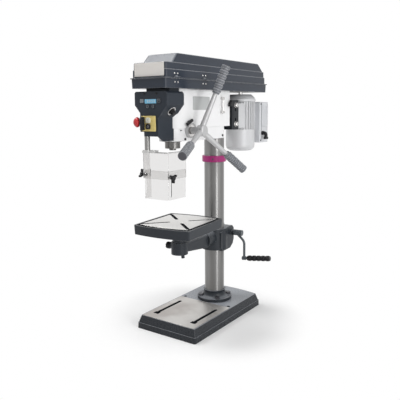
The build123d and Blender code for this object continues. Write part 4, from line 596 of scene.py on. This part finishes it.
def addMark(name, text, origin, across, up, height, body, finish, rise=0.0002):
    # raised figures, centred on a point and read along across
    capHeight = 0.7  # of the font, at size 1
    across, up = Vector(across), Vector(up)
    curve = bpy.data.curves.new(name, "FONT")
    curve.body = text
    curve.size = height / capHeight
    curve.extrude = rise
    curve.align_x = "CENTER"
    curve.align_y = "CENTER"
    curve.resolution_u = 3
    holder = bpy.data.objects.new(name, curve)
    scene.collection.objects.link(holder)
    mesh = plainMesh(holder)
    bpy.data.objects.remove(holder)
    place = Matrix((across, up, across.cross(up))).transposed().to_4x4()
    place.translation = Vector(origin)
    mesh.transform(place)
    mesh.materials.clear()
    mesh.materials.append(finishes[finish])
    piece = bpy.data.objects.new(name, mesh)
    scene.collection.objects.link(piece)
    finishPiece(piece, body)


toRight, toFront, toBack = (1, 0, 0), (0, -1, 0), (0, 1, 0)
toTop, toFloor = (0, 0, 1), (0, 0, -1)
sunk = 0.0002  # how far a fitting's foot stands in the face under it

# rivets of the two cover hinges
hinges = {"middles": (-0.342, -0.176), "half": 0.0085, "trayX": 0.0751, "trayZ": 0.9220, "coverX": 0.0741,
          "coverZ": 0.9505, "sizes": {"Radius": 0.0030, "Rise": 0.0016}}


def rivetPlaces(x, z):
    return [((x, middle + side * hinges["half"], z), toRight)
            for middle in hinges["middles"] for side in (-1, 1)]


addFittings("trayRivets", "rivet", rivetPlaces(hinges["trayX"], hinges["trayZ"]), "stand", "bright_steel",
            "brightSteel", **hinges["sizes"])
addFittings("coverRivets", "rivet", rivetPlaces(hinges["coverX"], hinges["coverZ"]), "cover", "bright_steel",
            "brightSteel", **hinges["sizes"])

# socket screws of the head, the collar and the panel
headScrews = {"low": (0.048, -0.0135, 0.7305), "nose": (0.0478, -0.2610, 0.7270),
              "sizes": {"Radius": 0.0046, "Head": 0.0026, "Socket": 0.0024}}
addFittings("headScrews", "socket", [(headScrews["low"], toRight), (headScrews["nose"], toRight)], "stand",
            "black_plastic", "blackPlastic", **headScrews["sizes"])
collarScrew = {"radius": 0.0482, "height": 0.6370, "turn": -63.1,
               "sizes": {"Radius": 0.0036, "Head": 0.0012, "Socket": 0.0021}}
collarTurn = math.radians(collarScrew["turn"])
collarOut = (math.cos(collarTurn), math.sin(collarTurn), 0.0)
collarPlace = Vector(collarOut) * collarScrew["radius"] + Vector((0, 0, collarScrew["height"]))
addFittings("collarScrew", "socket", [(collarPlace, collarOut)], "stand", "dark_steel", "darkSteel",
            **collarScrew["sizes"])
panelScrews = {"x": 0.0262, "y": -0.3900, "z": 0.8845,
               "sizes": {"Radius": 0.0036, "Head": 0.0016, "Socket": 0.0019}}
panelPlaces = [((side * panelScrews["x"], panelScrews["y"], panelScrews["z"]), toFront) for side in (-1, 1)]
addFittings("panelScrews", "socket", panelPlaces, "stand", "black_plastic", "blackPlastic",
            **panelScrews["sizes"])
print("rivets and screws set")

# bolts that hold the motor's foot in the bracket's slots
bracketBolts = {"x": 0.0520, "y": 0.0795, "levels": (0.7725, 0.8475)}
boltPlaces = [((side * bracketBolts["x"], bracketBolts["y"], z), (side, 0, 0))
              for side in (-1, 1) for z in bracketBolts["levels"]]
addFittings("bracketBolts", "bolt", boltPlaces, "motor", "bright_steel", "brightSteel")

# terminal box: cooling ribs on the lid, lid screws and the seal at its foot
boxTrim = {"face": 0.0600,
           "ribs": 9, "ribFirst": 0.2910, "ribLast": 0.3400, "ribLow": 0.7480, "ribHigh": 0.8540,
           "ribWidth": 0.0026, "ribRise": 0.0010,
           "screwY": 0.2800, "screwLevels": (0.6960, 0.8530),
           "screwSizes": {"Radius": 0.0036, "Head": 0.0018, "Socket": 0.0019},
           "sealY": 0.2845, "sealLow": 0.6880, "sealHigh": 0.8610, "sealWidth": 0.0030, "sealRise": 0.0006}
boxFace = boxTrim["face"] - sunk
ribStep = (boxTrim["ribLast"] - boxTrim["ribFirst"]) / (boxTrim["ribs"] - 1)
ribLevel = (boxTrim["ribLow"] + boxTrim["ribHigh"]) / 2
ribPlaces = [((boxFace, boxTrim["ribFirst"] + ribStep * index, ribLevel), toRight)
             for index in range(boxTrim["ribs"])]
addFittings("boxRibs", "bar", ribPlaces, "motor", "box_pale", "boxPale",
            Length=boxTrim["ribHigh"] - boxTrim["ribLow"], Width=boxTrim["ribWidth"], Rise=boxTrim["ribRise"])
addFittings("boxScrews", "socket", [((boxFace, boxTrim["screwY"], z), toRight) for z in boxTrim["screwLevels"]],
            "motor", "dark_steel", "darkSteel", **boxTrim["screwSizes"])
sealLevel = (boxTrim["sealLow"] + boxTrim["sealHigh"]) / 2
addFittings("boxSeal", "bar", [((boxFace, boxTrim["sealY"], sealLevel), toRight)], "motor", "motor_black",
            "motorBlack", Length=boxTrim["sealHigh"] - boxTrim["sealLow"], Width=boxTrim["sealWidth"],
            Rise=boxTrim["sealRise"])

# cowl: air slots in its underside, longer towards the middle
cowlSlots = {"axisY": 0.2050, "level": 0.6560, "reach": 0.0360, "rows": 9, "width": 0.0034, "rise": 0.0006}
slotStep = 2 * cowlSlots["reach"] / (cowlSlots["rows"] + 1)
slotPlaces = []
for row in range(cowlSlots["rows"]):
    offset = -cowlSlots["reach"] + slotStep * (row + 1)
    chord = 2 * math.sqrt(cowlSlots["reach"] ** 2 - offset ** 2)
    slotPlaces.append(((0.0, cowlSlots["axisY"] + offset, cowlSlots["level"] + sunk), toFloor,
                       (chord, 1.0, 1.0)))
addFittings("cowlSlots", "bar", slotPlaces, "motor", "motor_black", "motorBlack", Length=1.0,
            Width=cowlSlots["width"], Rise=cowlSlots["rise"])
print("motor trimmed")

# feed handle: dark plugs in the grips' ends
feedArms = {"hub": (0.0990, -0.2350, 0.7570), "count": 3, "phase": 78.4, "tilt": 18.8, "end": 0.2380,
            "plugRadius": 0.0136}
lean = math.radians(feedArms["tilt"])
plugPlaces = []
for index in range(feedArms["count"]):
    turn = math.radians(feedArms["phase"] + 360 / feedArms["count"] * index)
    out = Vector((math.sin(lean), math.cos(lean) * math.cos(turn), math.cos(lean) * math.sin(turn)))
    plugPlaces.append((Vector(feedArms["hub"]) + out * (feedArms["end"] - sunk), out))
addFittings("gripPlugs", "plug", plugPlaces, "feed_handle", "dark_steel", "darkSteel",
            Radius=feedArms["plugRadius"])

# depth ring: silver scale face, and ticks round its rim
depthScale = {"y": -0.2350, "z": 0.7570, "faceX": 0.0588, "faceInner": 0.0112, "faceOuter": 0.0225,
              "faceThick": 0.0006, "faceBevel": 0.0003, "rimX": 0.0548, "rim": 0.0270, "ticks": 40,
              "longEvery": 5, "longer": 1.7, "tickSizes": {"Length": 0.0042, "Width": 0.0007, "Rise": 0.0004}}
addLathe("depthFace", (depthScale["faceX"], depthScale["y"], depthScale["z"]), toRight,
         [(depthScale["faceInner"], 0.0), (depthScale["faceOuter"], 0.0),
          (depthScale["faceOuter"] - depthScale["faceBevel"], depthScale["faceThick"]),
          (depthScale["faceInner"], depthScale["faceThick"])],
         "depth_stop", "brightSteel")
rimMiddle = Vector((depthScale["rimX"], depthScale["y"], depthScale["z"]))
tickPlaces = []
for index in range(depthScale["ticks"]):
    turn = 2 * math.pi * index / depthScale["ticks"]
    out = Vector((0.0, math.cos(turn), math.sin(turn)))
    longer = depthScale["longer"] if index % depthScale["longEvery"] == 0 else 1.0
    tickPlaces.append((rimMiddle + out * (depthScale["rim"] - sunk), out, (longer, 1.0, 1.0)))
addFittings("depthTicks", "bar", tickPlaces, "depth_stop", "key_grey", "markPale", **depthScale["tickSizes"])

# pointer beside the depth ring: a thin triangle
pointer = {"x": 0.0479, "y": -0.2810, "z": 0.7585, "thick": 0.0008,
           "outline": ((-0.007, -0.002), (0.006, 0.0), (-0.007, 0.002))}
addMesh("depthPointer", [(pointer["x"] + lift, pointer["y"] + along, pointer["z"] + side)
                         for lift in (0.0, pointer["thick"]) for along, side in pointer["outline"]],
        [(0, 1, 2), (3, 4, 5), (0, 1, 4, 3), (1, 2, 5, 4), (2, 0, 3, 5)], "stand", "markDark")
print("feed and depth scale done")

# bare plates on the head's side and the cover's front
headPlate = {"origin": (0.0520, -0.1632, 0.8536), "size": (0.1080, 0.0475), "thick": 0.0009, "corner": 0.003}
addPlate("headPlate", headPlate["origin"], toBack, toTop, headPlate["size"], headPlate["thick"],
         headPlate["corner"], "stand", "labelGrey")
frontPlate = {"origin": (0.0020, -0.3961, 0.9630), "size": (0.1280, 0.0440), "thick": 0.0012, "corner": 0.002}
addPlate("frontPlate", frontPlate["origin"], toRight, toTop, frontPlate["size"], frontPlate["thick"],
         frontPlate["corner"], "cover", "labelPale")

# panel: figures on the display, outlines and signs on the keys and buttons
display = {"figures": "0 8 5 0", "origin": (0.003, -0.3906, 0.8590), "height": 0.0086}
addMark("displayFigures", display["figures"], display["origin"], toRight, toTop, display["height"], "stand",
        "markPale")
keys = {"face": -0.3923, "signHeight": 0.0050, "lineWidth": 0.0010, "lineThick": 0.0002,
        "square": {"size": (0.0124, 0.0114), "corner": 0.0020},
        "round": {"size": (0.0106, 0.0106), "corner": 0.0052},
        "signs": {"key_a": ("<", -0.038, 0.8605, "square"), "key_b": (">", 0.038, 0.8605, "square"),
                  "key_c": ("-", -0.012, 0.842, "round"), "key_d": ("+", 0.012, 0.842, "round")}}
for body, (sign, x, z, shape) in keys["signs"].items():
    middle = (x, keys["face"], z)
    addMark("sign_" + body, sign, middle, toRight, toTop, keys["signHeight"], body, "markGrey")
    addFrame("outline_" + body, middle, toRight, toTop, keys[shape]["size"], keys["lineWidth"],
             keys["lineThick"], keys[shape]["corner"], body, "markGrey")
buttons = {"x": -0.007, "face": -0.3989, "signHeight": 0.0080, "startZ": 0.795, "stopZ": 0.7745}
addMark("sign_start", "I", (buttons["x"], buttons["face"], buttons["startZ"]), toRight, toTop,
        buttons["signHeight"], "start", "markGrey")
addMark("sign_stop", "O", (buttons["x"], buttons["face"], buttons["stopZ"]), toRight, toTop,
        buttons["signHeight"], "stop", "markPale")

# silver bezel under the speed knob
bezel = {"origin": (0.0525, -0.3420, 0.8260), "out": (0.7484, 0.0, -0.6633),
         "profile": ((0.0122, -0.0004), (0.0175, -0.0004), (0.0175, 0.0010), (0.0165, 0.0018),
                     (0.0127, 0.0012), (0.0122, 0.0006))}
addLathe("speedBezel", bezel["origin"], bezel["out"], bezel["profile"], "stand", "brightSteel")

# black ring round the quill under the head's nose
quillBlackRing = {"origin": (0.0, -0.2720, 0.7172), "inner": 0.0281, "outer": 0.0325, "drop": 0.0026,
             "bevel": 0.0008}
addLathe("quillBlackRing", quillBlackRing["origin"], toTop,
         [(quillBlackRing["inner"], 0.0), (quillBlackRing["outer"] - quillBlackRing["bevel"], 0.0),
          (quillBlackRing["outer"], quillBlackRing["bevel"]), (quillBlackRing["outer"], quillBlackRing["drop"]),
          (quillBlackRing["inner"], quillBlackRing["drop"])],
         "stand", "blackPlastic")

# dark strip along the top of the guard's frame
guardStrip = {"left": 0.0050, "right": 0.0570, "front": -0.3746, "rear": -0.2760, "level": 0.6864,
              "width": 0.0022, "rise": 0.0008}
frontMiddle = ((guardStrip["left"] + guardStrip["right"]) / 2, guardStrip["front"], guardStrip["level"])
sideMiddle = (guardStrip["right"], (guardStrip["front"] + guardStrip["rear"]) / 2, guardStrip["level"])
addFittings("guardStrip", "bar",
            [(frontMiddle, toTop, (guardStrip["right"] - guardStrip["left"], guardStrip["width"], 1.0)),
             (sideMiddle, toTop, (guardStrip["width"], guardStrip["rear"] - guardStrip["front"], 1.0))],
            "guard", "black_plastic", "blackPlastic", Length=1.0, Width=1.0, Rise=guardStrip["rise"])
print("panel dressed")


# floor, light and camera
floorLook = {"size": 9.0, "drop": 0.0005, "colour": (0.92, 0.92, 0.92, 1.0), "rough": 0.9,
             "middle": (0.0, -0.12, 0.0), "fade": (0.28, 0.46)}
skyLook = {"sideBand": (-0.6, 0.9), "left": 0.14, "right": 0.36, "topBand": (0.0, 0.9), "top": 0.28}
lamps = {
    "keyLamp": {"place": (2.8, 0.1, 1.5), "target": (0, -0.1, 0.55), "size": (1.8, 2.0), "power": 13.0},
    "stripLamp": {"place": (2.45, -1.14, 0.85), "target": (0, 0, 0.65), "size": (0.75, 1.7), "power": 27.5},
    "topLamp": {"place": (0.2, -0.5, 3.0), "target": (0, -0.1, 0.5), "size": (2.4, 2.4), "power": 24.0},
    "slopeLamp": {"place": (-1.9, -0.95, 3.4), "target": (0, -0.34, 1.0), "size": (1.3, 1.3), "power": 62.0},
}
view = {"place": (1.1646, -1.7697, 0.8280), "azimuth": 34.93, "elevation": 9.71, "roll": -0.41,
        "focalPixels": 524.2, "imagePixels": 400.0, "sensor": 36.0}


def seenDirectly(tree):
    # 1 for rays that show the background: straight from the camera, mirrored or through glass
    rays = tree.nodes.new("ShaderNodeLightPath")
    mirrored = addMath(tree, "ADD", rays.outputs["Is Glossy Ray"], rays.outputs["Is Transmission Ray"])
    return addMath(tree, "ADD", rays.outputs["Is Camera Ray"], mirrored, clamp=True)


def makeFloor():
    # lit near the object, where its shadow falls, and plain white farther out
    mesh = bpy.data.meshes.new("studioFloor")
    half = floorLook["size"] / 2
    mesh.from_pydata([(-half, -half, 0), (half, -half, 0), (half, half, 0), (-half, half, 0)], [],
                     [(0, 1, 2, 3)])
    floor = bpy.data.objects.new("studioFloor", mesh)
    floor.location.z = -floorLook["drop"]
    scene.collection.objects.link(floor)
    material, tree, shader, place = startMaterial("studioFloor")
    shader.inputs["Base Color"].default_value = floorLook["colour"]
    shader.inputs["Roughness"].default_value = floorLook["rough"]
    white = tree.nodes.new("ShaderNodeEmission")
    distance = addNode(tree, "ShaderNodeVectorMath", {0: place, 1: floorLook["middle"]}, operation="DISTANCE")
    far = addRange(tree, distance.outputs["Value"], floorLook["fade"], curve="SMOOTHSTEP")
    mix = addNode(tree, "ShaderNodeMixShader", {0: addMath(tree, "MULTIPLY", far, seenDirectly(tree)),
                                                1: shader.outputs[0], 2: white.outputs[0]})
    tree.links.new(mix.outputs[0], tree.nodes["Material Output"].inputs[0])
    mesh.materials.append(material)


def makeWorld():
    # soft light that is stronger from the right and from above than from the front and the left
    world = bpy.data.worlds.new("studioWorld")
    scene.world = world
    world.use_nodes = True
    tree = world.node_tree
    direction = addNode(tree, "ShaderNodeTexCoord").outputs["Generated"]
    heading = addNode(tree, "ShaderNodeSeparateXYZ", {0: direction})
    side = addRange(tree, heading.outputs["X"], skyLook["sideBand"], skyLook["left"], skyLook["right"])
    above = addRange(tree, heading.outputs["Z"], skyLook["topBand"], 0.0, skyLook["top"])
    ambient = tree.nodes["Background"]
    ambient.inputs[0].default_value = (1.0, 1.0, 1.0, 1.0)
    tree.links.new(addMath(tree, "ADD", side, above), ambient.inputs[1])
    white = addNode(tree, "ShaderNodeBackground", {0: (1.0, 1.0, 1.0, 1.0)})
    mix = addNode(tree, "ShaderNodeMixShader", {0: seenDirectly(tree), 1: ambient.outputs[0],
                                                2: white.outputs[0]})
    tree.links.new(mix.outputs[0], tree.nodes["World Output"].inputs[0])


def addLamp(name, place, target, size, power):
    lamp = bpy.data.lights.new(name, "AREA")
    lamp.shape = "RECTANGLE"
    lamp.size, lamp.size_y = size
    lamp.energy = power
    holder = bpy.data.objects.new(name, lamp)
    holder.location = place
    holder.rotation_euler = (Vector(target) - Vector(place)).to_track_quat("-Z", "Y").to_euler()
    scene.collection.objects.link(holder)


def makeCamera():
    azimuth, elevation, roll = (math.radians(view[key]) for key in ("azimuth", "elevation", "roll"))
    back = Vector((math.sin(azimuth) * math.cos(elevation), -math.cos(azimuth) * math.cos(elevation),
                   math.sin(elevation)))
    right = Vector((0, 0, 1)).cross(back).normalized()
    up = back.cross(right)
    turnedRight = right * math.cos(roll) + up * math.sin(roll)
    turnedUp = up * math.cos(roll) - right * math.sin(roll)
    data = bpy.data.cameras.new("photoCamera")
    data.sensor_fit = "HORIZONTAL"
    data.sensor_width = view["sensor"]
    data.lens = data.sensor_width * view["focalPixels"] / view["imagePixels"]
    camera = bpy.data.objects.new("photoCamera", data)
    place = Matrix((turnedRight, turnedUp, back)).transposed().to_4x4()
    place.translation = Vector(view["place"])
    camera.matrix_world = place
    scene.collection.objects.link(camera)
    scene.camera = camera


makeFloor()
makeWorld()
for lampName, lampLook in lamps.items():
    addLamp(lampName, **lampLook)
makeCamera()
print("stage, light and camera placed")
